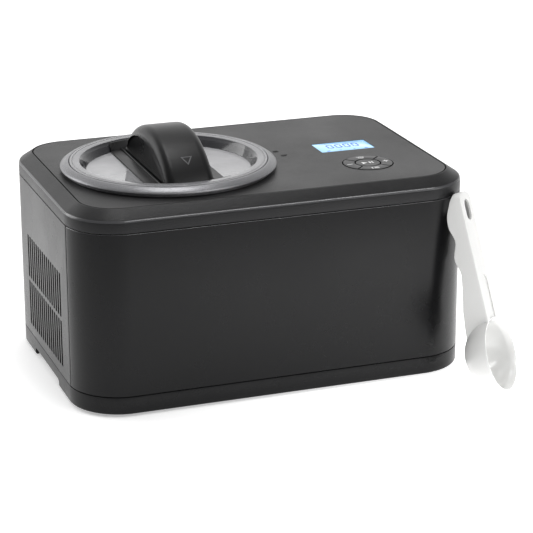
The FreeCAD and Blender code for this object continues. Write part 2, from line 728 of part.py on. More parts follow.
def condenser_tube():
    step = COND_H / COND_ROWS
    runs = []
    for row in range(COND_ROWS):
        z = COND_Z + (row + 0.5) * step
        start = V(COND_X, -COND_W / 2 - 5, z)
        runs.append(Part.makeCylinder(COND_TUBE_R, COND_W + 10, start, V(0, 1, 0)))
        if row < COND_ROWS - 1:
            end = COND_W / 2 + 5 if row % 2 == 0 else -COND_W / 2 - 5
            runs.append(rod(COND_X, end, z, z + step, COND_TUBE_R))
    return fuse(runs)


def fan_shroud():
    x0, x1, z = SHROUD_X0, SHROUD_X1, FAN_Z
    shell = box(x0, x1, -COND_W / 2, COND_W / 2, FLOOR_TOP, COND_Z + COND_H)
    shell = shell.cut(rod_x(x0 - 1, x1 + 1, 0, z, FAN_R + 2))
    cross = [box(x0, x0 + 3, -5, 5, z - FAN_R - 3, z + FAN_R + 3),
             box(x0, x0 + 3, -FAN_R - 3, FAN_R + 3, z - 5, z + 5)]
    return fuse([shell] + cross).cut(rod_x(x0 - 1, x0 + 5, 0, z, PIN_R + 0.5))


def fan_motor():
    can = rod_x(SHROUD_X0 - 24, SHROUD_X0, 0, FAN_Z, 17)
    return can.cut(rod_x(SHROUD_X0 - 10, SHROUD_X0 + 1, 0, FAN_Z, PIN_R + RUNNING))


def fan_rotor():
    x0, z = SHROUD_X1 - 17, FAN_Z
    hub = rod_x(x0, SHROUD_X1 - 3, 0, z, 13)
    shaft = rod_x(SHROUD_X0 - 9, x0 + 1, 0, z, PIN_R)
    blades = []
    for number in range(FAN_BLADES):
        blade = box(x0 + 5, x0 + 6.6, -9, 9, z + 11, z + FAN_R - 1)
        blade.rotate(V(x0 + 6, 0, z), V(0, 0, 1), 32)
        blade.rotate(V(0, 0, z), V(1, 0, 0), number * 360.0 / FAN_BLADES)
        blades.append(blade)
    rotor = fuse([hub, shaft] + blades)
    return rotor.common(rod_x(x0 - 20, SHROUD_X1 - 1, 0, z, FAN_R))


def drier_place():
    """The filter drier's axis, bottom and top."""
    return COMP_X - COMP_R - 14, COMP_Y + 34, FLOOR_TOP + 26, FLOOR_TOP + 92


def filter_drier():
    x, y, low, high = drier_place()
    return lathe([(0, low), (2.5, low), (3, low + 8), (9, low + 16), (9, high - 16), (3, high - 8),
                  (2.5, high), (0, high)], x, y)


def suction_tube():
    return pipe(suction_points(), 3.2)


def condenser_end_y():
    """How far back the tubes that join the condenser's end bends start."""
    return COND_W / 2 + 5 + COND_TUBE_R + 2 * FIT_GAP


def discharge_tube():
    z = COND_Z + COND_H * (COND_ROWS - 0.5) / COND_ROWS
    high = COMP_TOP + 12
    return pipe([(COMP_X, COMP_Y, COMP_TOP + FIT_GAP), (COMP_X, COMP_Y, high), (COND_X, COMP_Y, high),
                 (COND_X, COMP_Y, z), (COND_X, condenser_end_y(), z)], 3.2)


def liquid_tube():
    z = COND_Z + COND_H * 0.5 / COND_ROWS
    drier_x, drier_y, low, high = drier_place()
    rear = COMP_Y + COMP_R + 9
    post_x, post_y = post_places()[-1]
    return pipe([(COND_X, condenser_end_y(), z), (post_x - 17, post_y + 6, z), (post_x - 43, rear, z),
                 (drier_x, rear, z), (drier_x - 14, drier_y, z), (drier_x - 14, drier_y, high + 8),
                 (drier_x, drier_y, high + 8), (drier_x, drier_y, high + FIT_GAP)], 2.2)


# ---------------------------------------------------------------- electrics and controls
def mains_inlet():
    half_w, half_h = INLET_W / 2, INLET_H / 2
    t = INLET_WALL
    y0 = HALF_D - INLET_DEEP
    block = box(INLET_X - half_w - t, INLET_X + half_w + t, y0 - t, HALF_D, INLET_Z - half_h - t,
                INLET_Z + half_h + t)
    flange = box(INLET_X - half_w - INLET_FLANGE - 4, INLET_X + half_w + INLET_FLANGE + 4,
                 HALF_D - WALL - 2.3, HALF_D - WALL - FIT_GAP, INLET_Z - half_h - INLET_FLANGE,
                 INLET_Z + half_h + INLET_FLANGE)
    cavity = box(INLET_X - half_w, INLET_X + half_w, y0, HALF_D + 1, INLET_Z - half_h, INLET_Z + half_h)
    return block.fuse(flange).cut(cavity)


def inlet_pins():
    y0 = HALF_D - INLET_DEEP - INLET_WALL
    pins = []
    for dx, dz in ((-INLET_PIN_PITCH, -2.0), (0, 2.5), (INLET_PIN_PITCH, -2.0)):
        pins.append(box(INLET_X + dx - 1, INLET_X + dx + 1, y0 - 10, y0, INLET_Z + dz - 2, INLET_Z + dz + 2))
        pins.append(box(INLET_X + dx - 1, INLET_X + dx + 1, y0 + INLET_WALL, HALF_D - 5,
                        INLET_Z + dz - 2, INLET_Z + dz + 2))
    return pins


def power_board():
    x0, x1 = POT_X - 30, POT_X + 28
    y = HALF_D - 19
    board = box(x0, x1, y - 1.6, y, INLET_Z + 26, INLET_Z + 106)
    relay = box(x0 + 6, x0 + 24, y - 18, y - 1.6, INLET_Z + 34, INLET_Z + 54)
    block = box(x0 + 30, x0 + 52, y - 18, y - 1.6, INLET_Z + 60, INLET_Z + 84)
    can = Part.makeCylinder(6, 18, V(x0 + 14, y - 19.6, INLET_Z + 76), V(0, 1, 0))
    stands = [box(x, x + 6, y, HALF_D - WALL - FIT_GAP, z, z + 6)
              for x in (x0 + 1, x1 - 7) for z in (INLET_Z + 28, INLET_Z + 98)]
    return fuse([board, relay, block, can] + stands)


def control_board():
    half = 36.0
    y0, y1 = KEY_Y - KEY_R - 6, LCD_Y + LCD_D / 2 + 12
    board = box(KEY_X - half, KEY_X + half, y0, y1, BOARD_Z, BOARD_Z + 1.6)
    posts = [rod(KEY_X + sx * (half - 4), y, BOARD_Z + 1.6, COVER_IN, 2.5)
             for sx in (-1, 1) for y in (y0 + 4, y1 - 4)]
    return fuse([board] + posts)


def key_places():
    """The middle of each key: the round one, then right, rear, left and front."""
    r = (KEY_MID_R + KEY_R) / 2
    return [(KEY_X, KEY_Y)] + [polar(KEY_X, KEY_Y, r, a) for a in (0, 90, 180, 270)]


def tact_switches():
    return [box(x - 3, x + 3, y - 3, y + 3, BOARD_Z + 1.6, BOARD_Z + 4) for x, y in key_places()]


def key_guide():
    low = BOARD_Z + 7.5
    plate = rod(KEY_X, KEY_Y, low, low + 2, KEY_R + 4)
    rim = tube(KEY_X, KEY_Y, low, COVER_IN, KEY_R + 1, KEY_R + 4)
    holes = [rod(x, y, low - 1, low + 3, 2.0 + RUNNING) for x, y in key_places()]
    return plate.fuse(rim).cut(Part.makeCompound(holes))


def key(number):
    x, y = key_places()[number]
    low = BOARD_Z + 9.5 + KEY_TRAVEL + 0.3
    high = CASE_TOP + KEY_RAISE
    stem = rod(x, y, BOARD_Z + 4 + KEY_TRAVEL + 0.2, low + 1, 2.0)
    if number == 0:
        return rod(x, y, low, high, KEY_MID_R - KEY_GAP / 2).fuse(stem)
    ring = tube(KEY_X, KEY_Y, low, high, KEY_MID_R + KEY_GAP / 2, KEY_R - KEY_GAP)
    middle = (number - 1) * 90
    wedge = sector(KEY_X, KEY_Y, KEY_R, 45, middle, low, high)
    slot = KEY_GAP / math.sqrt(2)
    wedge = moved(wedge, slot * math.cos(math.radians(middle)), slot * math.sin(math.radians(middle)))
    return ring.common(wedge).fuse(stem)


def display_lens():
    gap = FIT_GAP
    return box(LCD_X - LCD_W / 2 + gap, LCD_X + LCD_W / 2 - gap, LCD_Y - LCD_D / 2 + gap,
               LCD_Y + LCD_D / 2 - gap, CASE_TOP - 1.8, CASE_TOP - 0.2)


def display_module():
    return box(LCD_X - LCD_W / 2 - 2, LCD_X + LCD_W / 2 + 2, LCD_Y - LCD_D / 2 - 2, LCD_Y + LCD_D / 2 + 2,
               BOARD_Z + 1.9, COVER_IN - 0.1).fuse(
        box(LCD_X - LCD_W / 2 + 1, LCD_X + LCD_W / 2 - 1, LCD_Y - LCD_D / 2 + 1, LCD_Y + LCD_D / 2 - 1,
            COVER_IN - 0.2, CASE_TOP - 1.9))


# ---------------------------------------------------------------- measuring scoop
def scoop_outline():
    """The handle's side outline: (along the handle, depth below its top face), with finger notches."""
    notched = [(0, 0), (0, 9), (4, 11), (12, 14.5), (20, 18.3), (26, 19.8), (34, 20), (41, 17.8), (47, 16),
               (53, 16.8), (60, 20), (66, 21.4), (71, 20.8), (76, 19), (82, 17.6), (97, 19.9), (110, 22.6)]
    outline = [(SCOOP_TIP - below, depth) for below, depth in notched]
    return outline + [(50, 25.2), (30, 27.5), (20, 28), (20, 0)]


def scoop_front():
    """The handle's front outline, round at the tip, as a block as deep as the cup."""
    half, r = SCOOP_HALF, SCOOP_HALF - 3
    side = SCOOP_TIP - r
    cut = r * (1 - math.sqrt(0.5))
    left, right = V(0, -half, side), V(0, half, side)
    top_left, top_right = V(0, r - half, SCOOP_TIP), V(0, half - r, SCOOP_TIP)
    edges = [Part.LineSegment(V(0, -half, 0), left).toShape(),
             Part.Arc(left, V(0, cut - half, SCOOP_TIP - cut), top_left).toShape(),
             Part.LineSegment(top_left, top_right).toShape(),
             Part.Arc(top_right, V(0, half - cut, SCOOP_TIP - cut), right).toShape(),
             Part.LineSegment(right, V(0, half, 0)).toShape(),
             Part.LineSegment(V(0, half, 0), V(0, -half, 0)).toShape()]
    return Part.Face(Part.Wire(edges)).extrude(V(-SCOOP_DEEP, 0, 0))


def scoop():
    points = [V(-depth, -SCOOP_HALF, along) for along, depth in scoop_outline()]
    handle = Part.Face(Part.makePolygon(points + [points[0]])).extrude(V(0, 2 * SCOOP_HALF, 0))
    handle = handle.common(scoop_front())
    channel = [V(-SCOOP_T, SCOOP_T - SCOOP_HALF, 0), V(-SCOOP_T, SCOOP_T - SCOOP_HALF, SCOOP_TIP - 4),
               V(-40, SCOOP_T - SCOOP_HALF, SCOOP_TIP - 8), V(-40, SCOOP_T - SCOOP_HALF, 0)]
    hollow = Part.Face(Part.makePolygon(channel + [channel[0]])).extrude(V(0, 2 * (SCOOP_HALF - SCOOP_T), 0))
    slot = box(-10, 1, -6, 6, SCOOP_TIP - 24, SCOOP_TIP - 14)
    slot = fuse([slot] + [Part.makeCylinder(6, 11, V(-10, 0, z), V(1, 0, 0))
                          for z in (SCOOP_TIP - 24, SCOOP_TIP - 14)])
    label = box(-0.8, 1, -8, 8, 44, SCOOP_TIP - 88)
    outer = Part.makeSphere(1, V(0, 0, 0))
    stretch = FreeCAD.Matrix()
    stretch.scale(SCOOP_DEEP, SCOOP_R, SCOOP_R)
    shrink = FreeCAD.Matrix()
    shrink.scale(SCOOP_DEEP - SCOOP_T, SCOOP_R - SCOOP_T, SCOOP_R - SCOOP_T)
    cup = outer.transformGeometry(stretch)
    void = outer.transformGeometry(shrink)
    lower = box(-60, 0, -60, 60, -60, 60)
    shell = cup.common(lower)
    return handle.cut(hollow).cut(slot).cut(label).fuse(shell).cut(void)


def placed_scoop():
    """Stands the scoop on the rim of its cup and leans its handle on the casing's front right corner."""
    shape = scoop()
    shape.rotate(V(0, 0, 0), V(1, 0, 0), -SCOOP_ROLL)
    shape.rotate(V(0, 0, 0), V(0, 1, 0), -SCOOP_LEAN)
    shape.rotate(V(0, 0, 0), V(0, 0, 1), SCOOP_TURN)
    lean = math.radians(SCOOP_LEAN)
    lift = math.hypot(SCOOP_DEEP * math.sin(lean), SCOOP_R * math.cos(lean))
    x, y = polar(HALF_W - CORNER_R, CORNER_R - HALF_D, CORNER_R + SCOOP_REACH, SCOOP_BEARING)
    shape.translate(V(x, y, lift))
    return shape


def main():
    pieces = {
        "base_tray": base_tray, "rubber_feet": rubber_feet, "front_panel": front_panel,
        "rear_housing": rear_housing, "side_seam_strips": side_seam_strips, "top_cover": top_cover,
        "corner_posts": corner_posts, "base_screws": base_screws, "lid_ring": lid_ring,
        "lid_gasket": lid_gasket, "clear_lid": clear_lid, "lid_tray": lid_tray, "lid_handle": lid_handle,
        "evaporator_pot": evaporator_pot, "evaporator_coil": evaporator_coil,
        "pot_insulation": pot_insulation, "bowl": bowl, "mixing_paddle": mixing_paddle,
        "drive_shaft": drive_shaft, "shaft_bush": shaft_bush, "shaft_seal": shaft_seal,
        "output_gear": output_gear, "mid_gear": mid_gear, "mid_gear_pin": mid_gear_pin,
        "motor_pinion": motor_pinion, "motor_shaft": motor_shaft, "drive_motor": drive_motor,
        "gearbox_case": gearbox_case, "gearbox_lid": gearbox_lid, "compressor": compressor,
        "compressor_plate": compressor_plate, "compressor_grommets": compressor_grommets,
        "condenser_fins": condenser_fins, "condenser_tube": condenser_tube, "fan_shroud": fan_shroud,
        "fan_motor": fan_motor, "fan_rotor": fan_rotor, "filter_drier": filter_drier,
        "suction_tube": suction_tube, "discharge_tube": discharge_tube, "liquid_tube": liquid_tube,
        "mains_inlet": mains_inlet, "inlet_pins": inlet_pins, "power_board": power_board,
        "control_board": control_board, "tact_switches": tact_switches, "key_guide": key_guide,
        "display_lens": display_lens, "display_module": display_module, "measuring_scoop": placed_scoop,
    }
    for name, make in pieces.items():
        save(name, make())
    for number, name in enumerate(("start_key", "plus_key", "timer_key", "minus_key", "menu_key")):
        save(name, key(number))


main()
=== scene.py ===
import json
import math

import bmesh
import bpy
from mathutils import Matrix, Vector


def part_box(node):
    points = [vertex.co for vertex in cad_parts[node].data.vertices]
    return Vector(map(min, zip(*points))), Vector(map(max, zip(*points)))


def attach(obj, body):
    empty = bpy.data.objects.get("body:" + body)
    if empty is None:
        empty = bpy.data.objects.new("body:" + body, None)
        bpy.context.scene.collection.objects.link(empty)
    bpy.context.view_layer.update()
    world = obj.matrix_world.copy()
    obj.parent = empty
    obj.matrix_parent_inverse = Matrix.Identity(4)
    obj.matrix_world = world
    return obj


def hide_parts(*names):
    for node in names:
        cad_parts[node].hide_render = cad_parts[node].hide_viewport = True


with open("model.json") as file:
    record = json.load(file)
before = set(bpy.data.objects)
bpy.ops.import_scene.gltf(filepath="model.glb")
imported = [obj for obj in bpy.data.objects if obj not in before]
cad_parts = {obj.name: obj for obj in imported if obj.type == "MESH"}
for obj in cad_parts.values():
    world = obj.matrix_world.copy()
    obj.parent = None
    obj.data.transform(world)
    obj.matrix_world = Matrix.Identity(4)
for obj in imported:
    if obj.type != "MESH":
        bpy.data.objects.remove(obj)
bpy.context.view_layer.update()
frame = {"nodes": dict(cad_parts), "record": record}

# Compressor ice cream maker: a wide black case with a twist-off clear lid and arch grip over the freezing
# bowl, a lit display and round keypad on the right, side vents, and a white scoop against the front corner.
# Lengths in this file are millimetres and are turned into metres where a piece is made.

MM = 0.001


def corners(node):
    """A CAD node's lowest and highest corner, in millimetres."""
    low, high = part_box(node)
    return low / MM, high / MM


panel_low, panel_high = corners("front_panel")
rear_low, rear_high = corners("rear_housing")
ring_low, ring_high = corners("lid_ring")
clear_low, clear_high = corners("clear_lid")
grip_low, grip_high = corners("lid_handle")
lens_low, lens_high = corners("display_lens")
start_low, start_high = corners("start_key")
plus_high = corners("plus_key")[1]
tray_low = corners("base_tray")[0]
cover_high = corners("top_cover")[1]

HALF_W = panel_high.x
FRONT, REAR = panel_low.y, rear_high.y
CORNER, WALL = 54.0, 2.5
SEAM_Y = panel_high.y
CASE_TOP = cover_high.z
SEAM_STEP = 0.5
COVER_BOTTOM, BASE_TOP = panel_high.z + SEAM_STEP, panel_low.z - SEAM_STEP
CHAMFER_W, CHAMFER_H = 14.0, 9.3
CHAMFER_Z = CASE_TOP - CHAMFER_H
VENT_ROWS = ((33.0, 82.6), (87.0, 134.0))
VENT_COLS, VENT_PITCH, VENT_HALF = 16, 8.85, 2.6
LID_X, LID_Y = (ring_low.x + ring_high.x) / 2, (ring_low.y + ring_high.y) / 2
RING_R, RING_TOP = (ring_high.x - ring_low.x) / 2, ring_high.z
LID_R, LID_TOP = (clear_high.x - clear_low.x) / 2, clear_high.z
LID_LAND, WELL_RIM, WELL_SLOPE_W, WELL_DEEP = 8.0, 11.2, 6.3, 10.4
WELL_FLOOR, NECK_R = LID_TOP - WELL_DEEP, LID_R - LID_LAND
GRIP_TOP, GRIP_HALF = grip_high.z, (grip_high.x - grip_low.x) / 2
GRIP_R, GRIP_LOWERED, GRIP_ROUND = 101.0, 2.6, 10.0
KEY_X, KEY_Y = (start_low.x + start_high.x) / 2, (start_low.y + start_high.y) / 2
KEY_R, KEY_MID_R, KEY_TOP = plus_high.x - KEY_X + 1.0, start_high.x - KEY_X, start_high.z
LCD_X, LCD_Y = (lens_low.x + lens_high.x) / 2, (lens_low.y + lens_high.y) / 2
INK_T, INK_GAP = 0.06, 0.01

# ---------------------------------------------------------------- modelling helpers


def rest():
    """Back to object mode with nothing selected."""
    if bpy.context.object and bpy.context.object.mode != "OBJECT":
        bpy.ops.object.mode_set(mode="OBJECT")
    bpy.ops.object.select_all(action="DESELECT")


def only(piece):
    rest()
    piece.select_set(True)
    bpy.context.view_layer.objects.active = piece


def named(name):
    piece = bpy.context.active_object
    piece.name = name
    piece.data.name = name
    return piece


def settle(piece):
    """Puts an object's place, turn and size into its mesh."""
    only(piece)
    bpy.ops.object.transform_apply(location=True, rotation=True, scale=True)
    return piece


def placed(piece, matrix):
    piece.matrix_world = matrix
    return settle(piece)


def shift(x, y, z=0.0):
    return Matrix.Translation(Vector((x, y, z)) * MM)


def about(turn, x, y):
    """A turn in degrees about the upright axis at x, y."""
    return shift(x, y) @ Matrix.Rotation(math.radians(turn), 4, "Z") @ shift(-x, -y)


def repeated(piece, *moves):
    """The piece, and a copy of it with its own mesh for each move."""
    copies = [piece]
    for move in moves:
        twin = piece.copy()
        twin.data = piece.data.copy()
        bpy.context.scene.collection.objects.link(twin)
        copies.append(placed(twin, move))
    return copies


def pick(piece, kind, test):
    """Goes into edit mode with only the faces, edges or corners selected for which the test holds."""
    only(piece)
    bpy.ops.object.mode_set(mode="EDIT")
    bpy.ops.mesh.select_mode(type=kind)
    bpy.ops.mesh.select_all(action="DESELECT")
    mesh = bmesh.from_edit_mesh(piece.data)
    for part in {"FACE": mesh.faces, "EDGE": mesh.edges, "VERT": mesh.verts}[kind]:
        if test(part):
            part.select_set(True)
    mesh.select_flush_mode()
    bmesh.update_edit_mesh(piece.data)


def pick_all(piece):
    only(piece)
    bpy.ops.object.mode_set(mode="EDIT")
    bpy.ops.mesh.select_mode(type="VERT")
    bpy.ops.mesh.select_all(action="SELECT")


def facing(x, y, z):
    """A test for faces that look the given way."""
    way = Vector((x, y, z))
    return lambda face: face.normal.dot(way) > 0.99


def level_edge(z, near=0.05):
    """A test for edges that lie at height z."""
    return lambda edge: all(abs(corner.co.z / MM - z) < near for corner in edge.verts)


def upright(edge):
    run = edge.verts[1].co - edge.verts[0].co
    return abs(run.z) > 0.9 * run.length


def block(name, low, high):
    rest()
    low, high = Vector(low) * MM, Vector(high) * MM
    bpy.ops.mesh.primitive_cube_add(size=1, location=(low + high) / 2)
    piece = named(name)
    piece.scale = high - low
    return settle(piece)


def rod(name, x, y, z0, z1, radius, sides=96):
    rest()
    bpy.ops.mesh.primitive_cylinder_add(vertices=sides, radius=radius * MM, depth=(z1 - z0) * MM,
                                        location=(x * MM, y * MM, (z0 + z1) / 2 * MM))
    return settle(named(name))


def outward(piece):
    """Merges doubles and turns every face outwards."""
    pick_all(piece)
    bpy.ops.mesh.remove_doubles(threshold=0.000002)
    bpy.ops.mesh.delete_loose(use_verts=True, use_edges=True, use_faces=False)
    bpy.ops.mesh.select_all(action="SELECT")
    bpy.ops.mesh.normals_make_consistent(inside=False)
    rest()
    return piece


def loop_of(name, points, filled):
    """A ring of corners moved to the given places."""
    rest()
    bpy.ops.mesh.primitive_circle_add(vertices=len(points), radius=0.01,
                                      fill_type="NGON" if filled else "NOTHING")
    piece = named(name)
    for corner, point in zip(piece.data.vertices, points):
        corner.co = Vector(point) * MM
    return piece


def plate(name, outline, z0, z1):
    """A plate from z0 to z1 with an outline of (x, y) points."""
    piece = loop_of(name, [(x, y, z0) for x, y in outline], True)
    pick_all(piece)
    bpy.ops.mesh.extrude_region_move(TRANSFORM_OT_translate={"value": (0, 0, (z1 - z0) * MM)})
    return outward(piece)


def turned(name, outline, x, y, steps=128, sweep=360.0, start=0.0):
    """Spins a closed outline of (radius, height) points about the upright axis at x, y."""
    c, s = math.cos(math.radians(start)), math.sin(math.radians(start))
    piece = loop_of(name, [(r * c, r * s, z) for r, z in outline], False)
    pick_all(piece)
    bpy.ops.mesh.spin(steps=steps, angle=math.radians(sweep), center=(0, 0, 0), axis=(0, 0, 1))
    bpy.ops.mesh.select_all(action="SELECT")
    if sweep < 360:
        bpy.ops.mesh.fill_holes(sides=0)
    outward(piece)
    piece.location = (x * MM, y * MM, 0)
    return settle(piece)


def finish_with(piece, modifier):
    only(piece)
    bpy.ops.object.modifier_apply(modifier=modifier.name)
    return piece


def combine(piece, other, how="DIFFERENCE"):
    tool = piece.modifiers.new("shape", "BOOLEAN")
    tool.operation = how
    tool.object = other
    tool.solver = "EXACT"
    finish_with(piece, tool)
    bpy.data.objects.remove(other, do_unlink=True)
    return piece


def soften(piece, width, segments=2, angle=35.0):
    """Rounds every edge sharper than the angle."""
    tool = piece.modifiers.new("edge", "BEVEL")
    tool.width = width * MM
    tool.segments = segments
    tool.limit_method = "ANGLE"
    tool.angle_limit = math.radians(angle)
    return finish_with(piece, tool)


def bevel_picked(width, segments=3):
    bpy.ops.mesh.bevel(offset=width * MM, segments=segments, affect="EDGES")


def inset_picked(width, rise=0.0):
    bpy.ops.mesh.inset(thickness=width * MM, depth=rise * MM)


def smooth(piece, angle=32.0):
    only(piece)
    bpy.ops.object.shade_smooth_by_angle(angle=math.radians(angle))
    rest()
    return piece


def joined(pieces):
    rest()
    for piece in pieces:
        piece.select_set(True)
    bpy.context.view_layer.objects.active = pieces[0]
    bpy.ops.object.join()
    rest()
    return pieces[0]


def fitted(piece, body, material, slot, *nodes):
    """Hands a piece over: its finish, the body that it moves with and the nodes that it stands for."""
    if not piece.data.materials:
        piece.data.materials.append(material)
    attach(piece, body)
    if nodes:
        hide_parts(*nodes)
    return piece


# ---------------------------------------------------------------- shared surface effects


def effect(name, inputs, outputs):
    """An empty node group with number inputs; gives the group, its nodes, its wiring and its two ends."""
    group = bpy.data.node_groups.new(name, "ShaderNodeTree")
    socket = group.interface.new_socket
    for title, value in inputs:
        socket(name=title, in_out="INPUT", socket_type="NodeSocketFloat").default_value = value
    for title in outputs:
        socket(name=title, in_out="OUTPUT", socket_type="NodeSocketFloat")
    start, end = (group.nodes.new(kind) for kind in ("NodeGroupInput", "NodeGroupOutput"))
    return group, group.nodes, group.links.new, start, end


def feed(link, socket, value):
    """Gives a socket a number, or wires another socket to it."""
    if isinstance(value, (int, float)):
        socket.default_value = value
    else:
        link(value, socket)


def calc(nodes, link, how, *values, clamp=False):
    """A Math node on numbers or sockets."""
    node = nodes.new("ShaderNodeMath")
    node.operation = how
    node.use_clamp = clamp
    for number, value in enumerate(values):
        feed(link, node.inputs[number], value)
    return node.outputs[0]


def distance(nodes, link, x, y):
    squares = [calc(nodes, link, "MULTIPLY", value, value) for value in (x, y)]
    return calc(nodes, link, "SQRT", calc(nodes, link, "ADD", *squares))


def remap(nodes, link, value, **ends):
    """A Map Range node whose ends are numbers or sockets."""
    node = nodes.new("ShaderNodeMapRange")
    link(value, node.inputs["Value"])
    for title, end in ends.items():
        feed(link, node.inputs[title.replace("_", " ")], end)
    return node


def noise(nodes, link, place, scale, detail=2.0, rough=0.5, stretch=None):
    """A Noise Texture on object coordinates, stretched along the axes when asked."""
    if stretch:
        mapping = nodes.new("ShaderNodeMapping")
        mapping.inputs["Scale"].default_value = stretch
        link(place, mapping.inputs["Vector"])
        place = mapping.outputs["Vector"]
    node = nodes.new("ShaderNodeTexNoise")
    link(place, node.inputs["Vector"])
    feed(link, node.inputs["Scale"], scale)
    node.inputs["Detail"].default_value = detail
    node.inputs["Roughness"].default_value = rough
    return node.outputs["Fac"]


def grain_effect():
    """Spark-eroded mould grain: small rounded cells with a finer roughness on them."""
    group, nodes, link, start, end = effect("mould_grain", [("Scale", 900.0)], ["Height", "Tone"])
    place = nodes.new("ShaderNodeTexCoord").outputs["Object"]
    cells = nodes.new("ShaderNodeTexVoronoi")
    cells.feature = "SMOOTH_F1"
    link(place, cells.inputs["Vector"])
    link(start.outputs["Scale"], cells.inputs["Scale"])
    fine = noise(nodes, link, place, calc(nodes, link, "MULTIPLY", start.outputs["Scale"], 2.3), 3.0)
    height = calc(nodes, link, "ADD", cells.outputs["Distance"], calc(nodes, link, "MULTIPLY", fine, 0.6))
    link(height, end.inputs["Height"])
    link(fine, end.inputs["Tone"])
    return group


def handling_effect():
    """Broad, soft patches where a surface has been wiped and handled."""
    group, nodes, link, start, end = effect("handling", [("Scale", 9.0), ("Low", 0.3), ("High", 0.4)],
                                            ["Value"])
    place = nodes.new("ShaderNodeTexCoord").outputs["Object"]
    patches = noise(nodes, link, place, start.outputs["Scale"], 4.0, 0.6)
    spread = remap(nodes, link, patches, From_Min=0.35, From_Max=0.65, To_Min=start.outputs["Low"],
                   To_Max=start.outputs["High"])
    link(spread.outputs["Result"], end.inputs["Value"])
    return group


def edge_effect():
    """Outer edges rubbed a little brighter, broken up by noise."""
    group, nodes, link, start, end = effect("edge_wear", [("Amount", 1.0)], ["Mask"])
    place = nodes.new("ShaderNodeTexCoord").outputs["Object"]
    convex = nodes.new("ShaderNodeNewGeometry").outputs["Pointiness"]
    edge = remap(nodes, link, convex, From_Min=0.52, From_Max=0.6)
    rub = calc(nodes, link, "MULTIPLY", edge.outputs["Result"], noise(nodes, link, place, 120.0, 3.0))
    link(calc(nodes, link, "MULTIPLY", rub, start.outputs["Amount"], clamp=True), end.inputs["Mask"])
    return group


def dust_effect():
    """A thin veil of dust on what faces up."""
    group, nodes, link, start, end = effect("dust", [("Amount", 0.2)], ["Mask"])
    place = nodes.new("ShaderNodeTexCoord").outputs["Object"]
    split = nodes.new("ShaderNodeSeparateXYZ")
    link(nodes.new("ShaderNodeNewGeometry").outputs["Normal"], split.inputs[0])
    level = calc(nodes, link, "POWER", calc(nodes, link, "MAXIMUM", split.outputs["Z"], 0.0), 4.0)
    specks = noise(nodes, link, place, 260.0, 5.0, 0.7)
    amount = calc(nodes, link, "MULTIPLY", specks, start.outputs["Amount"])
    link(calc(nodes, link, "MULTIPLY", level, amount), end.inputs["Mask"])
    return group


def spun_effect():
    """Fine turning lines round an upright axis."""
    group, nodes, link, start, end = effect(
        "spun_lines", [("Axis X", 0.0), ("Axis Y", 0.0), ("Lines", 900.0)], ["Height", "Tone", "Radius"])
    split = nodes.new("ShaderNodeSeparateXYZ")
    link(nodes.new("ShaderNodeTexCoord").outputs["Object"], split.inputs[0])
    x = calc(nodes, link, "SUBTRACT", split.outputs["X"], start.outputs["Axis X"])
    y = calc(nodes, link, "SUBTRACT", split.outputs["Y"], start.outputs["Axis Y"])
    radius = distance(nodes, link, x, y)
    along = nodes.new("ShaderNodeCombineXYZ")
    link(radius, along.inputs["X"])
    link(split.outputs["Z"], along.inputs["Y"])
    link(radius, end.inputs["Radius"])
    lines = noise(nodes, link, along.outputs["Vector"], start.outputs["Lines"], 2.0)
    link(lines, end.inputs["Height"])
    link(noise(nodes, link, along.outputs["Vector"], 90.0, 3.0), end.inputs["Tone"])
    return group


GRAIN, HANDLING, EDGE = grain_effect(), handling_effect(), edge_effect()
DUST, SPUN = dust_effect(), spun_effect()


class Finish:
    """One material: a Principled shader with its colours, grain and roughness laid on step by step."""

    def __init__(self, name, **plain):
        self.material = bpy.data.materials.new(name)
        self.material.use_nodes = True
        self.nodes = self.material.node_tree.nodes
        self.link = self.material.node_tree.links.new
        self.shader = self.nodes["Principled BSDF"]
        for title, value in plain.items():
            self.shader.inputs[title.replace("_", " ")].default_value = value

    def place(self):
        return self.nodes.new("ShaderNodeTexCoord").outputs["Object"]

    def apply(self, group, **values):
        node = self.nodes.new("ShaderNodeGroup")
        node.node_tree = group
        for title, value in values.items():
            node.inputs[title.replace("_", " ")].default_value = value
        return node

    def calc(self, how, *values, clamp=False):
        return calc(self.nodes, self.link, how, *values, clamp=clamp)

    def noise(self, scale, detail=2.0, rough=0.5, stretch=None):
        return noise(self.nodes, self.link, self.place(), scale, detail, rough, stretch)

    def bubbles(self, scale):
        node = self.nodes.new("ShaderNodeTexVoronoi")
        self.link(self.place(), node.inputs["Vector"])
        node.inputs["Scale"].default_value = scale
        return node.outputs["Distance"]

    def blend(self, mask, first, second):
        """A colour between two, by a mask; each is a colour or a socket."""
        mix = self.nodes.new("ShaderNodeMix")
        mix.data_type = "RGBA"
        self.link(mask, mix.inputs["Factor"])
        for socket, colour in ((mix.inputs[6], first), (mix.inputs[7], second)):
            if isinstance(colour, tuple):
                socket.default_value = (*colour, 1.0)
            else:
                self.link(colour, socket)
        return mix.outputs[2]

    def colour(self, socket):
        self.link(socket, self.shader.inputs["Base Color"])

    def roughness(self, scale, low, high):
        patches = self.apply(HANDLING, Scale=scale, Low=low, High=high)
        self.link(patches.outputs["Value"], self.shader.inputs["Roughness"])

    def bump(self, height, strength, distance):
        node = self.nodes.new("ShaderNodeBump")
        node.inputs["Strength"].default_value = strength
        node.inputs["Distance"].default_value = distance
        self.link(height, node.inputs["Height"])
        self.link(node.outputs["Normal"], self.shader.inputs["Normal"])


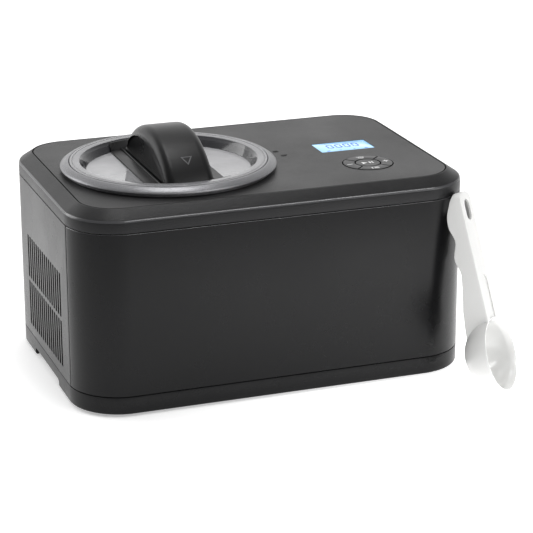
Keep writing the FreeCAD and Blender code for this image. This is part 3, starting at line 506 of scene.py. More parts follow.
def moulded(name, dark, light, low, high, grain=900.0, strength=0.2, dust=0.15, wear=0.6, **plain):
    """Moulded plastic: two close tones, mould grain, handled patches, rubbed edges and dust."""
    skin = Finish(name, **plain)
    cells = skin.apply(GRAIN, Scale=grain)
    tone = skin.blend(cells.outputs["Tone"], dark, light)
    worn = tuple(min(1.0, value * 1.7 + 0.03) for value in light)
    tone = skin.blend(skin.apply(EDGE, Amount=wear).outputs["Mask"], tone, worn)
    skin.colour(skin.blend(skin.apply(DUST, Amount=dust).outputs["Mask"], tone, (0.5, 0.49, 0.47)))
    skin.roughness(11.0, low, high)
    skin.bump(cells.outputs["Height"], strength, 0.0004)
    return skin


def metal(name, dark, light, low, high, stretch, scale=300.0, strength=0.12, **plain):
    """Bare metal with drawn, rolled or ground lines along one way."""
    skin = Finish(name, Metallic=1.0, **plain)
    lines = skin.noise(scale, 3.0, 0.6, stretch)
    tone = skin.blend(lines, dark, light)
    worn = tuple(min(1, value * 1.2) for value in light)
    skin.colour(skin.blend(skin.apply(EDGE, Amount=0.8).outputs["Mask"], tone, worn))
    skin.roughness(20.0, low, high)
    skin.bump(lines, strength, 0.0003)
    return skin


def spun_metal(name, dark, light, low, high, x, y):
    skin = Finish(name, Metallic=1.0)
    lines = skin.apply(SPUN, Axis_X=x * MM, Axis_Y=y * MM, Lines=1400.0)
    skin.colour(skin.blend(lines.outputs["Tone"], dark, light))
    skin.roughness(14.0, low, high)
    skin.bump(lines.outputs["Height"], 0.25, 0.0003)
    return skin


casing_black = moulded("casing_black", (0.003, 0.003, 0.0035), (0.005, 0.005, 0.0055), 0.24, 0.30,
                       grain=1500.0, strength=0.10, dust=0.02, Specular_IOR_Level=0.20)
cover_black = moulded("cover_black", (0.003, 0.003, 0.0035), (0.009, 0.009, 0.010), 0.35, 0.42,
                      grain=1000.0, strength=0.34, dust=0.03, Specular_IOR_Level=0.22)
lid_black = moulded("lid_black", (0.003, 0.003, 0.0035), (0.006, 0.006, 0.0065), 0.27, 0.35,
                    grain=1300.0, strength=0.12, dust=0.015, Specular_IOR_Level=0.18)
key_black = moulded("key_black", (0.006, 0.006, 0.007), (0.014, 0.014, 0.015), 0.32, 0.40,
                    grain=1100.0, strength=0.22, dust=0.02, Specular_IOR_Level=0.34)
# A lighter black for bevel faces: a painted highlight line along the edges, with a real lower roughness and
# stronger specular.
edge_highlight_black = moulded("edge_highlight_black", (0.030, 0.030, 0.032), (0.055, 0.055, 0.058), 0.18, 0.26,
                     grain=1200.0, strength=0.08, dust=0.0, Specular_IOR_Level=0.6)
rubber_black = moulded("rubber_black", (0.010, 0.010, 0.010), (0.022, 0.021, 0.020), 0.75, 0.9,
                       grain=700.0, strength=0.5, dust=0.3)
gear_white = moulded("gear_white", (0.68, 0.66, 0.60), (0.80, 0.79, 0.74), 0.36, 0.46,
                     grain=1200.0, strength=0.12, dust=0.1)
paddle_white = moulded("paddle_white", (0.70, 0.71, 0.70), (0.80, 0.81, 0.80), 0.30, 0.40,
                       grain=1000.0, strength=0.12, dust=0.05)
scoop_white = moulded("scoop_white", (0.66, 0.66, 0.65), (0.71, 0.71, 0.70), 0.14, 0.20,
                      grain=500.0, strength=0.03, dust=0.02, wear=0.1)
steel_black = moulded("steel_black", (0.012, 0.012, 0.013), (0.030, 0.030, 0.032), 0.22, 0.38,
                      grain=400.0, strength=0.3, dust=0.3, wear=1.0, Coat_Weight=0.4)
steel_bright = metal("steel_bright", (0.42, 0.42, 0.43), (0.62, 0.62, 0.63), 0.24, 0.34, (1.0, 1.0, 12.0))
copper_tube = metal("copper_tube", (0.52, 0.24, 0.14), (0.76, 0.40, 0.25), 0.24, 0.42, (1.0, 1.0, 1.0), 90.0)
zinc_fins = metal("zinc_fins", (0.16, 0.17, 0.19), (0.27, 0.28, 0.31), 0.36, 0.48, (1.0, 1.0, 6.0), 200.0)
aluminium_satin = spun_metal("aluminium_satin", (0.60, 0.61, 0.62), (0.76, 0.77, 0.78), 0.26, 0.34,
                             LID_X, LID_Y)


def graphite():
    """The lid ring's satin paint with fine metal flakes."""
    skin = Finish("ring_graphite", Metallic=0.55)
    flakes = skin.noise(2600.0, 1.0)
    sharp = skin.calc("POWER", flakes, 2.2)
    tone = skin.blend(sharp, (0.050, 0.050, 0.054), (0.60, 0.60, 0.62))
    skin.colour(skin.blend(skin.apply(EDGE, Amount=0.5).outputs["Mask"], tone, (0.40, 0.40, 0.42)))
    skin.roughness(16.0, 0.28, 0.34)
    skin.bump(flakes, 0.18, 0.0003)
    return skin


def clear_plastic():
    """Clear lid plastic: pale rim and window, with painted shade on the darker sloping wall between and on a
    fine line in the rim's groove; the window is painted paler than the rim as light from the bowl seen
    through it.
    """
    skin = Finish("clear_plastic", Coat_Weight=0.5, Coat_Roughness=0.06, IOR=1.49)
    haze = skin.noise(34.0, 3.0, 0.55)
    radius = skin.apply(SPUN, Axis_X=LID_X * MM, Axis_Y=LID_Y * MM).outputs["Radius"]

    def band(inner, outer):
        over = skin.calc("GREATER_THAN", radius, inner * MM)
        return skin.calc("MULTIPLY", over, skin.calc("LESS_THAN", radius, outer * MM))

    # Painted shade: the sloping well wall and the thin groove in the rim are painted dark for the shade and
    # dark insides seen through them.
    slope = skin.calc("ADD", band(LID_R - 17.7, LID_R - 10.2), band(LID_R - 3.6, LID_R - 2.5), clamp=True)
    pale = skin.blend(haze, (0.34, 0.34, 0.355), (0.45, 0.45, 0.46))
    # The rim is painted darker than the window; the window's paler tone is painted light from the bowl seen
    # through it.
    pale = skin.blend(band(LID_R - 10.2, LID_R + 1.0), pale, (0.25, 0.25, 0.262))
    skin.colour(skin.blend(slope, pale, (0.035, 0.035, 0.040)))
    solid = remap(skin.nodes, skin.link, haze, To_Min=0.62, To_Max=0.82)
    skin.link(solid.outputs["Result"], skin.shader.inputs["Alpha"])
    skin.roughness(24.0, 0.10, 0.18)
    skin.bump(skin.noise(120.0, 1.0), 0.03, 0.0005)
    return skin


def foam():
    skin = Finish("foam_white")
    cells = skin.bubbles(260.0)
    skin.colour(skin.blend(cells, (0.34, 0.33, 0.28), (0.56, 0.54, 0.47)))
    skin.roughness(30.0, 0.8, 0.95)
    skin.bump(cells, 0.6, 0.001)
    return skin


def board_green():
    """Circuit board lacquer with copper tracks showing through."""
    skin = Finish("board_green", Coat_Weight=0.3, Coat_Roughness=0.15)
    brick = skin.nodes.new("ShaderNodeTexBrick")
    skin.link(skin.place(), brick.inputs["Vector"])
    brick.inputs["Scale"].default_value = 130.0
    brick.inputs["Mortar Size"].default_value = 0.06
    brick.inputs["Color1"].default_value = (0.015, 0.12, 0.045, 1)
    brick.inputs["Color2"].default_value = (0.020, 0.15, 0.055, 1)
    brick.inputs["Mortar"].default_value = (0.07, 0.26, 0.10, 1)
    dusty = skin.apply(DUST, Amount=0.4).outputs["Mask"]
    skin.colour(skin.blend(dusty, brick.outputs["Color"], (0.35, 0.36, 0.33)))
    skin.roughness(40.0, 0.3, 0.42)
    skin.bump(brick.outputs["Fac"], 0.2, 0.0002)
    return skin


def screen_blue():
    """The lit window: pale blue light, fainter towards its rims, under a smooth cover."""
    skin = Finish("screen_blue", Coat_Weight=0.15, Coat_Roughness=0.1, Emission_Strength=0.85,
                  Specular_IOR_Level=0.25)
    split = skin.nodes.new("ShaderNodeSeparateXYZ")
    skin.link(skin.place(), split.inputs[0])

    def from_middle(axis, middle, half):
        off = skin.calc("SUBTRACT", split.outputs[axis], middle * MM)
        return skin.calc("ABSOLUTE", skin.calc("DIVIDE", off, half * MM))

    across, down = from_middle("X", LCD_X, 30.5), from_middle("Y", LCD_Y, 17.0)
    rim = skin.calc("POWER", skin.calc("MAXIMUM", across, down, clamp=True), 6.0)
    uneven = skin.noise(60.0, 2.0)
    lit = skin.blend(uneven, (0.40, 0.72, 1.0), (0.50, 0.80, 1.0))
    lit = skin.blend(rim, lit, (0.26, 0.60, 0.98))
    skin.link(lit, skin.shader.inputs["Emission Color"])
    skin.colour(skin.blend(uneven, (0.10, 0.16, 0.22), (0.14, 0.21, 0.28)))
    skin.roughness(50.0, 0.08, 0.14)
    return skin


def printed(name, dark, light, glow=None, **plain):
    """Ink printed or lit on a surface, a little uneven; the same recipe also makes the painted shade black
    and the arrow's painted highlight grey.
    """
    skin = Finish(name, **plain)
    ink = skin.noise(700.0, 3.0)
    skin.colour(skin.blend(ink, dark, light))
    if glow:
        lit = skin.blend(ink, glow, tuple(value * 1.15 for value in glow))
        skin.link(lit, skin.shader.inputs["Emission Color"])
    skin.roughness(80.0, 0.4, 0.5)
    return skin


ring_graphite, clear_with_painted_shade, foam_white = graphite(), clear_plastic(), foam()
circuit_green, lit_blue = board_green(), screen_blue()
symbol_white = printed("symbol_white", (0.62, 0.62, 0.62), (0.85, 0.85, 0.85))
digit_blue = printed("digit_blue", (0.02, 0.03, 0.30), (0.03, 0.05, 0.38), (0.08, 0.16, 0.72),
                     Emission_Strength=0.55, Specular_IOR_Level=0.1)
# A lighter grey for the arrow outline: a painted highlight for the light caught by the engraved arrow's
# edges.
arrow_highlight_grey = printed("arrow_highlight_grey", (0.035, 0.035, 0.038), (0.075, 0.075, 0.08))
# Near-black with little specular: painted shade in the cover's groove, the vent slots and the gaps between
# keys, and the dark ink of the padlock signs.
shade_and_sign_black = printed("shade_and_sign_black", (0.002, 0.002, 0.002), (0.005, 0.005, 0.005), Specular_IOR_Level=0.08)

BY_SLOT = {"casing_black": casing_black, "cover_black": cover_black, "ring_graphite": ring_graphite,
           "clear_plastic": clear_with_painted_shade, "lid_black": lid_black, "rubber_black": rubber_black,
           "aluminium_satin": aluminium_satin, "copper_tube": copper_tube, "steel_bright": steel_bright,
           "steel_black": steel_black, "gear_white": gear_white, "foam_white": foam_white,
           "board_green": circuit_green, "screen_blue": lit_blue, "key_black": key_black,
           "paddle_white": paddle_white, "scoop_white": scoop_white, "zinc_fins": zinc_fins}

for subpart in frame["record"]["subparts"]:
    node = frame["nodes"][subpart["node"]]
    node.data.materials.clear()
    node.data.materials.append(BY_SLOT[subpart["material_slot"]].material)


# The key guide under the keys turned near-black, so the gaps between keys show painted shade.
frame["nodes"]["key_guide"].data.materials[0] = shade_and_sign_black.material


def hand_over(piece, body, slot, *nodes, finish=None):
    return fitted(piece, body, (finish or BY_SLOT[slot]).material, slot, *nodes)


def stained(piece, first, second, test):
    """A second finish on the faces for which the test holds."""
    if first:
        piece.data.materials.append(first.material)
    piece.data.materials.append(second.material)
    pick(piece, "FACE", test)
    piece.active_material_index = len(piece.data.materials) - 1
    bpy.ops.object.material_slot_assign()
    rest()
    return piece


# ---------------------------------------------------------------- case


def case_outline(name, z0, z1, steps=20):
    """The case's rounded outline as a block from z0 to z1."""
    piece = block(name, (-HALF_W, FRONT, z0), (HALF_W, REAR, z1))
    pick(piece, "EDGE", upright)
    bevel_picked(CORNER, steps)
    rest()
    return piece


def top_cover():
    cover = case_outline("cover_shell", COVER_BOTTOM, CHAMFER_Z)
    pick(cover, "FACE", facing(0, 0, 1))
    inset_picked(CHAMFER_W, CHAMFER_H)
    inset_picked(0.7)
    inset_picked(0.75, -1.5)
    inset_picked(0.75, 1.5)
    pick(cover, "EDGE", level_edge(CHAMFER_Z))
    bevel_picked(2.4, 5)
    pick(cover, "EDGE", level_edge(COVER_BOTTOM))
    bevel_picked(1.0, 3)
    pick(cover, "FACE", facing(0, 0, -1))
    inset_picked(2.2)
    inset_picked(0.01, -10.0)
    inset_picked(13.5)
    inset_picked(0.01, -9.0)
    rest()
    smooth(cover, 30)
    combine(cover, rod("cutter", LID_X, LID_Y, CASE_TOP - 30, CASE_TOP + 5, NECK_R + 4.7, 128))
    combine(cover, rod("cutter", KEY_X, KEY_Y, CASE_TOP - 30, CASE_TOP + 5, KEY_R))
    window = block("cutter", (lens_low.x - 0.3, lens_low.y - 0.3, CASE_TOP - 30),
                   (lens_high.x + 0.3, lens_high.y + 0.3, CASE_TOP + 5))
    pick(window, "EDGE", upright)
    bevel_picked(1.2, 4)
    rest()
    combine(cover, window)

    # The groove round the top face, painted as shade.
    def in_groove(face):
        heights = [corner.co.z / MM for corner in face.verts]
        return CASE_TOP - 1.8 < min(heights) < CASE_TOP - 0.5 and abs(face.calc_center_median().x / MM) > 60

    # Middle faces of the bevel under the chamfer, which take the painted highlight line.
    def on_highlight_bevel(face):
        middle = face.calc_center_median().z / MM
        return CHAMFER_Z - 1.6 < middle < CHAMFER_Z + 1.2 and 0.2 < face.normal.z < 0.62

    stained(cover, cover_black, shade_and_sign_black, in_groove)
    stained(cover, None, edge_highlight_black, on_highlight_bevel)
    hand_over(smooth(cover, 30), "housing", "cover_black", "top_cover")


def lock_marks():
    """The two padlock signs beside the ring, one shut and one open, pressed into the cover."""
    x, y, top = 47.5, 12.5, CASE_TOP + 0.3
    body = block("lock_mark", (x - 2.6, y - 4.2, CASE_TOP), (x + 2.6, y - 0.2, top))
    soften(body, 0.05, 1)
    ring = [(1.3, CASE_TOP), (2.1, CASE_TOP), (2.1, top), (1.3, top)]
    leg = block("leg", (x - 2.1, y - 0.4, CASE_TOP), (x - 1.3, y + 0.3, top))
    bow = joined([turned("bow", ring, x, y + 0.2, 16, 180.0)] + repeated(leg, shift(3.4, 0)))
    open_x, open_y, open_lean = 3.0, -17.0, 2.2
    signs = repeated(body, shift(open_x, open_y)) + repeated(bow, shift(open_x + open_lean, open_y))
    hand_over(smooth(joined(signs)), "housing", "cover_black", finish=shade_and_sign_black)


def side_wall(name):
    """The upright walls all round, open above and below."""
    wall = case_outline(name, panel_low.z, panel_high.z)
    pick(wall, "FACE", lambda face: abs(face.normal.z) > 0.9)
    bpy.ops.mesh.delete(type="FACE")
    rest()
    return wall


def trimmed(wall, y, keep_front):
    pick_all(wall)
    bpy.ops.mesh.bisect(plane_co=(0, y * MM, 0), plane_no=(0, 1, 0), clear_outer=keep_front,
                        clear_inner=not keep_front)
    rest()
    tool = wall.modifiers.new("wall", "SOLIDIFY")
    tool.thickness = WALL * MM
    tool.offset = -1
    return finish_with(wall, tool)


def front_panel():
    panel = trimmed(side_wall("front_shell"), SEAM_Y, True)
    soften(panel, 1.0, 4, 60)

    # Faces on the panel's top lip, which take the painted highlight line.
    def on_highlight_lip(face):
        return face.calc_center_median().z / MM > panel_high.z - 1.1 and 0.25 < face.normal.z < 0.9

    stained(panel, casing_black, edge_highlight_black, on_highlight_lip)
    hand_over(smooth(panel), "housing", "casing_black", "front_panel")


def rear_housing():
    wall = trimmed(side_wall("rear_shell"), rear_low.y, False)
    soften(wall, 0.6, 3, 60)
    slots = []
    for z0, z1 in VENT_ROWS:
        y = -VENT_PITCH * (VENT_COLS - 1) / 2
        slot = block("slot", (-HALF_W - 2, y - VENT_HALF, z0), (-HALF_W + 4, y + VENT_HALF, z1))
        moves = [shift(x, n * VENT_PITCH) for x in (0, 2 * HALF_W - 2) for n in range(VENT_COLS)]
        slots += repeated(slot, *moves[1:])
    combine(wall, joined(slots))
    inlet_low, inlet_high = corners("mains_inlet")
    x, z = (inlet_low.x + inlet_high.x) / 2, (inlet_low.z + inlet_high.z) / 2
    mouth = block("mouth", (x - 15.8, REAR - 6, z - 12.3), (x + 15.8, REAR + 2, z + 12.3))
    pick(mouth, "EDGE", lambda edge: abs((edge.verts[1].co - edge.verts[0].co).y) > 0.003)
    bevel_picked(2.0, 4)
    rest()
    combine(wall, mouth)

    # The vent slots' inner walls, painted as shade.
    def in_slot(face):
        middle = face.calc_center_median() / MM
        in_rows = abs(middle.y) < 75 and 30 < middle.z < 136
        in_wall = HALF_W - 2.4 < abs(middle.x) < HALF_W - 0.1
        return in_rows and in_wall and max(abs(face.normal.y), abs(face.normal.z)) > 0.9

    stained(wall, casing_black, shade_and_sign_black, in_slot)
    hand_over(smooth(wall), "housing", "casing_black", "rear_housing")


def base_tray():
    """The base: a skirt with a softened lower rim, air slots in its floor and a low arch on each side."""
    tray = case_outline("base_shell", tray_low.z, BASE_TOP)
    pick(tray, "EDGE", level_edge(tray_low.z))
    bevel_picked(2.4, 5)
    pick(tray, "EDGE", level_edge(BASE_TOP))
    bevel_picked(0.5, 2)
    pick(tray, "FACE", facing(0, 0, -1))
    inset_picked(1.6)
    inset_picked(0.01, -8.5)
    pick(tray, "FACE", facing(0, 0, 1))
    inset_picked(3.0)
    inset_picked(0.01, -7.0)
    rest()
    arch = block("arch", (-HALF_W - 5, -48, tray_low.z - 5), (HALF_W + 5, 52, tray_low.z + 8))
    pick(arch, "EDGE", lambda edge: level_edge(tray_low.z + 8)(edge)
         and abs((edge.verts[1].co - edge.verts[0].co).x) > 0.1)
    bevel_picked(5.0, 6)
    rest()
    combine(tray, arch)
    shell_low, shell_high = corners("compressor")
    x, y = (shell_low.x + shell_high.x) / 2, (shell_low.y + shell_high.y) / 2
    slot = block("slot", (x - 40, y - 42, 0), (x + 40, y - 38, 30))
    combine(tray, joined(repeated(slot, *[shift(0, n * 10) for n in range(1, 9)])))
    hand_over(smooth(tray), "housing", "casing_black", "base_tray")


def feet():
    low, high = corners("rubber_feet")
    foot_r = 9.5
    outline = [(0, 0), (3.0, 0), (3.4, 0.6), (4.2, 0.6), (4.6, 0), (7.4, 0), (8.6, 0.4), (9.3, 1.2),
               (foot_r, 2.2), (foot_r, high.z - 0.5), (9.0, high.z), (0, high.z)]
    pad = turned("rubber_pads", outline, foot_r - high.x, low.y + foot_r, 48)
    across, along = 2 * (high.x - foot_r), high.y - low.y - 2 * foot_r
    pads = repeated(pad, shift(0, along), shift(across, 0), shift(across, along))
    hand_over(smooth(joined(pads)), "housing", "rubber_black", "rubber_feet")


# ---------------------------------------------------------------- lid


def lid_ring():
    foot = CASE_TOP + 4.0
    outline = [(NECK_R, ring_low.z), (NECK_R + 4.4, ring_low.z), (NECK_R + 4.4, CASE_TOP + 0.05),
               (RING_R - 4.6, CASE_TOP + 0.05), (RING_R - 4.0, CASE_TOP + 0.7), (RING_R - 4.0, foot - 0.6),
               (RING_R - 3.4, foot), (RING_R - 0.5, foot), (RING_R - 0.1, foot + 0.3), (RING_R, foot + 0.8),
               (RING_R - 0.2, foot + 1.4), (RING_R - 2.2, foot + 2.9), (RING_R - 4.6, foot + 4.5),
               (RING_R - 6.4, RING_TOP - 0.3), (LID_R + 2.6, RING_TOP), (LID_R + 1.0, RING_TOP),
               (LID_R + 0.6, RING_TOP - 0.4), (LID_R + 0.6, CASE_TOP + 3.5), (NECK_R, CASE_TOP + 3.5)]
    band = turned("ring_band", outline, LID_X, LID_Y, 160)
    hand_over(smooth(band, 38), "housing", "ring_graphite", "lid_ring")


def clear_lid():
    under = CASE_TOP + 5.6
    skirt = NECK_R - 5.8
    wall = LID_R - WELL_RIM
    floor_r = wall - WELL_SLOPE_W
    outline = [(0, WELL_FLOOR), (0, WELL_FLOOR - 2), (floor_r + 0.9, WELL_FLOOR - 2),
               (skirt, WELL_FLOOR + 0.6), (skirt, clear_low.z), (skirt + 2, clear_low.z),
               (skirt + 2, under - 2.4), (wall, under), (LID_R, under), (LID_R, LID_TOP - 0.8),
               (LID_R - 0.25, LID_TOP - 0.2), (LID_R - 0.8, LID_TOP), (LID_R - 2.6, LID_TOP),
               (LID_R - 2.9, LID_TOP - 0.25), (LID_R - 3.4, LID_TOP - 0.25), (LID_R - 3.7, LID_TOP),
               (wall + 1.6, LID_TOP), (wall + 0.7, LID_TOP - 0.2), (wall, LID_TOP - 0.9),
               (floor_r + 0.5, WELL_FLOOR + 0.4), (floor_r - 0.6, WELL_FLOOR)]
    lug_in, lug_out, lug_low, lug_high = skirt + 1.0, NECK_R - 0.6, clear_low.z + 0.3, clear_low.z + 2.6
    lug = turned("lug", [(lug_in, lug_low), (lug_out, lug_low), (lug_out, lug_high), (lug_in, lug_high)],
                 LID_X, LID_Y, 12, 17.0, -8.5)
    oval = turned("oval", [(0, 0), (2.6, 0), (2.9, 0.2), (2.6, 0.45), (0, 0.45)], 0, 0, 32)
    tilt = Matrix.Rotation(math.radians(57), 4, "Y") @ Matrix.Diagonal((1.0, 2.2, 1.0, 1.0))
    placed(oval, shift(LID_X - (wall - 3.6), LID_Y - 4, WELL_FLOOR + 4.4) @ tilt)
    pieces = [turned("window_lid", outline, LID_X, LID_Y, 160)]
    pieces += repeated(lug, about(120, LID_X, LID_Y), about(240, LID_X, LID_Y))
    pieces += repeated(oval, about(180, LID_X, LID_Y - 4))
    hand_over(smooth(joined(pieces), 30), "lid", "clear_plastic", "clear_lid")


def well_plug(name, inset, z0, z1):
    """The space inside the lid's sloping well wall."""
    slope = WELL_SLOPE_W / (WELL_DEEP - 0.5)
    floor_r = LID_R - WELL_RIM - WELL_SLOPE_W - inset
    r0, r1 = floor_r + slope * (z0 - WELL_FLOOR), floor_r + slope * (z1 - WELL_FLOOR)
    return turned(name, [(0, z0), (r0, z0), (r1, z1), (0, z1)], LID_X, LID_Y, 128)


def lid_tray():
    low, high = corners("lid_tray")
    half = (high.x - low.x) / 2
    z0 = WELL_FLOOR + 0.1
    tray = well_plug("dark_tray", 0.3, z0, LID_TOP - 1)
    combine(tray, well_plug("cutter", 2.1, z0 + 1.5, LID_TOP + 3))
    band = block("band", (LID_X - half, LID_Y - LID_R, z0 - 5), (LID_X + half, LID_Y + LID_R, LID_TOP + 5))
    combine(tray, band, "INTERSECT")
    soften(tray, 0.35, 2, 40)
    out = GRIP_HALF + 2.2
    ridge = block("ridge", (LID_X - out - 0.9, LID_Y - 80, z0 + 1), (LID_X - out + 0.9, LID_Y + 80, z0 + 3.2))
    soften(ridge, 0.6, 3)
    ridge = joined(repeated(ridge, shift(2 * out, 0)))
    combine(ridge, well_plug("cutter", 2.0, z0 - 3, LID_TOP + 3), "INTERSECT")
    hand_over(smooth(joined([tray, ridge])), "lid", "lid_black", "lid_tray")


def half_round(name, radius, top, shift, half, sides=160):
    """A drum lying along X whose highest line is at the given height."""
    rest()
    bpy.ops.mesh.primitive_cylinder_add(vertices=sides, radius=radius * MM, depth=2 * half * MM,
                                        location=(LID_X * MM, (LID_Y + shift) * MM, (top - radius) * MM),
                                        rotation=(0, math.pi / 2, 0))
    return settle(named(name))


def upright_ring(edge):
    """Edges round a drum's two end faces."""
    return abs((edge.verts[1].co - edge.verts[0].co).x) < 0.001


def cut_below(piece, z):
    pick_all(piece)
    bpy.ops.mesh.bisect(plane_co=(0, 0, z * MM), plane_no=(0, 0, 1), clear_inner=True, use_fill=True)
    rest()


def lid_grip():
    """The arch grip: a drum segment with rounded shoulders, a sickle recess on each side and an arrow."""
    z0 = WELL_FLOOR + 1.7
    crown = GRIP_TOP - GRIP_LOWERED
    grip = half_round("arch_grip", GRIP_R, crown, 0.0, GRIP_HALF)
    pick(grip, "EDGE", upright_ring)
    bevel_picked(GRIP_ROUND, 10)
    cut_below(grip, z0)
    sickle = half_round("sickle", 105.0, GRIP_TOP - 16.0, 9.0, 6.0)
    sickle.location.x = -(GRIP_HALF + 2.0) * MM
    settle(sickle)
    pick(sickle, "EDGE", upright_ring)
    bevel_picked(2.0, 4)
    cut_below(sickle, z0 + 3)
    for recess in repeated(sickle, shift(2 * (GRIP_HALF + 2.0), 0)):
        combine(grip, recess)
    combine(grip, well_plug("cutter", 2.2, z0 - 5, GRIP_TOP + 5), "INTERSECT")
    hand_over(smooth(grip, 40), "lid", "lid_black", "lid_handle")
    # The arrow is a thin frame in the painted-highlight grey laid on the grip.
    arrow = plate("grip_arrow", [(-6.2, 4.8), (6.2, 4.8), (0, -5.6)], -0.2, 0.35)
    combine(arrow, plate("cutter", [(-4.2, 3.8), (4.2, 3.8), (0, -3.4)], -1, 1))
    lean = math.radians(37.5)
    spot = shift(LID_X + 1.0, LID_Y - GRIP_R * math.sin(lean), crown - GRIP_R + GRIP_R * math.cos(lean))
    placed(arrow, spot @ Matrix.Rotation(lean, 4, "X"))
    hand_over(soften(arrow, 0.08, 1), "lid", "lid_black", finish=arrow_highlight_grey)


# ---------------------------------------------------------------- bowl and paddle


def bowl():
    low, high = corners("bowl")
    outer = NECK_R - 11.0
    base = low.z
    hub_top = base + 39.5
    outline = [(9.5, base), (outer - 8, base), (outer - 4.6, base + 0.9), (outer - 1.7, base + 3.6),
               (outer, base + 8), (outer, high.z - 2.2), (outer + 0.4, high.z - 1.5),
               (outer + 1.2, high.z - 1.2), (outer + 4.6, high.z - 1.2), (outer + 5.8, high.z - 1.0),
               (outer + 6.0, high.z - 0.5), (outer + 5.6, high.z), (outer + 0.2, high.z),
               (outer - 0.8, high.z - 0.5), (outer - 1.2, high.z - 1.6), (outer - 1.2, base + 8),
               (outer - 2.7, base + 4.2), (outer - 5.2, base + 2.0), (outer - 8, base + 1.2),
               (19, base + 1.2), (13.5, base + 5), (11.4, base + 12), (11, hub_top), (9.5, hub_top)]
    pot = turned("spun_bowl", outline, LID_X, LID_Y, 128)
    hand_over(smooth(pot, 40), "ice_bowl", "aluminium_satin", "bowl")


# ---------------------------------------------------------------- display and keys


def display():
    pane = block("display_pane", lens_low, lens_high)
    pick(pane, "EDGE", upright)
    bevel_picked(1.0, 4)
    pick(pane, "EDGE", level_edge(lens_high.z))
    bevel_picked(0.25, 2)
    rest()
    hand_over(smooth(pane), "housing", "screen_blue", "display_lens")


def segment(x, y, length, upright_bar, z, thick=1.5):
    """One six-sided bar of a figure, its middle at x, y."""
    half, t = length / 2, thick / 2
    outline = [(-half, 0), (-half + t, t), (half - t, t), (half, 0), (half - t, -t), (-half + t, -t)]
    if upright_bar:
        outline = [(b, a) for a, b in reversed(outline)]
    return plate("figures", [(x + a, y + b) for a, b in outline], z, z + INK_T)


def figures():
    """Four noughts, a rule above them and a row of small signs below, dark blue on the lit window."""
    z = lens_high.z + INK_GAP
    pitch, x, y = 9.6, LCD_X - 1.5 * 9.6, LCD_Y + 2.2
    flat, stand = segment(x, y - 5.6, 5.0, False, z), segment(x - 2.8, y - 2.8, 5.2, True, z)
    nought = joined(repeated(flat, shift(0, 11.2))
                    + repeated(stand, shift(0, 5.6), shift(5.6, 0), shift(5.6, 5.6)))
    bars = repeated(nought, *[shift(number * pitch, 0) for number in (1, 2, 3)])
    bars.append(segment(LCD_X, LCD_Y + 12.6, 46.0, False, z, 0.35))
    for x, wide in ((-21.5, 4.5), (-8.0, 3.0), (8.0, 2.6), (21.5, 4.6)):
        bars.append(segment(LCD_X + x, LCD_Y - 13.2, wide, False, z, 2.0 if abs(x) > 20 else 1.2))
    hand_over(joined(bars), "housing", "screen_blue", finish=digit_blue)


def middle_key():
    r = KEY_MID_R - 0.2
    outline = [(0, start_high.z - 4.2), (r - 0.4, start_high.z - 4.2), (r, start_high.z - 3.8),
               (r, KEY_TOP - 0.7), (r - 0.15, KEY_TOP - 0.25), (r - 0.6, KEY_TOP),
               (r - 2.4, KEY_TOP - 0.05), (0, KEY_TOP - 0.25)]
    button = turned("round_button", outline, KEY_X, KEY_Y, 72)
    hand_over(smooth(button), "start_button", "key_black", "start_key")


def arc_keys():
    """One ring cut crosswise into the four outer keys."""
    inner, outer = KEY_MID_R + 1.2, KEY_R - 1.2
    low = KEY_TOP - 4.2
    section = [(inner, low), (outer, low), (outer, KEY_TOP), (inner, KEY_TOP)]
    ring = turned("arc_buttons", section, KEY_X, KEY_Y, 96)
    for turn in (45, 135):
        bar = block("bar", (-40, -0.8, low - 2), (40, 0.8, KEY_TOP + 2))
        combine(ring, placed(bar, shift(KEY_X, KEY_Y) @ Matrix.Rotation(math.radians(turn), 4, "Z")))
    soften(ring, 0.45, 3, 50)
    only(ring)
    bpy.ops.object.mode_set(mode="EDIT")
    bpy.ops.mesh.select_all(action="SELECT")
    bpy.ops.mesh.separate(type="LOOSE")
    bpy.ops.object.mode_set(mode="OBJECT")
    for part in list(bpy.context.selected_objects):
        centre = sum((corner.co for corner in part.data.vertices), Vector()) / len(part.data.vertices) / MM
        x, y = centre.x - KEY_X, centre.y - KEY_Y
        if abs(x) > abs(y):
            key = "plus" if x > 0 else "minus"
        else:
            key = "timer" if y > 0 else "menu"
        part.name = key + "_arc"
        hand_over(smooth(part), key + "_button", "key_black", key + "_key")


def bar_mark(x0, x1, y0, y1, z):
    return block("mark", (KEY_X + x0, KEY_Y + y0, z), (KEY_X + x1, KEY_Y + y1, z + INK_T))


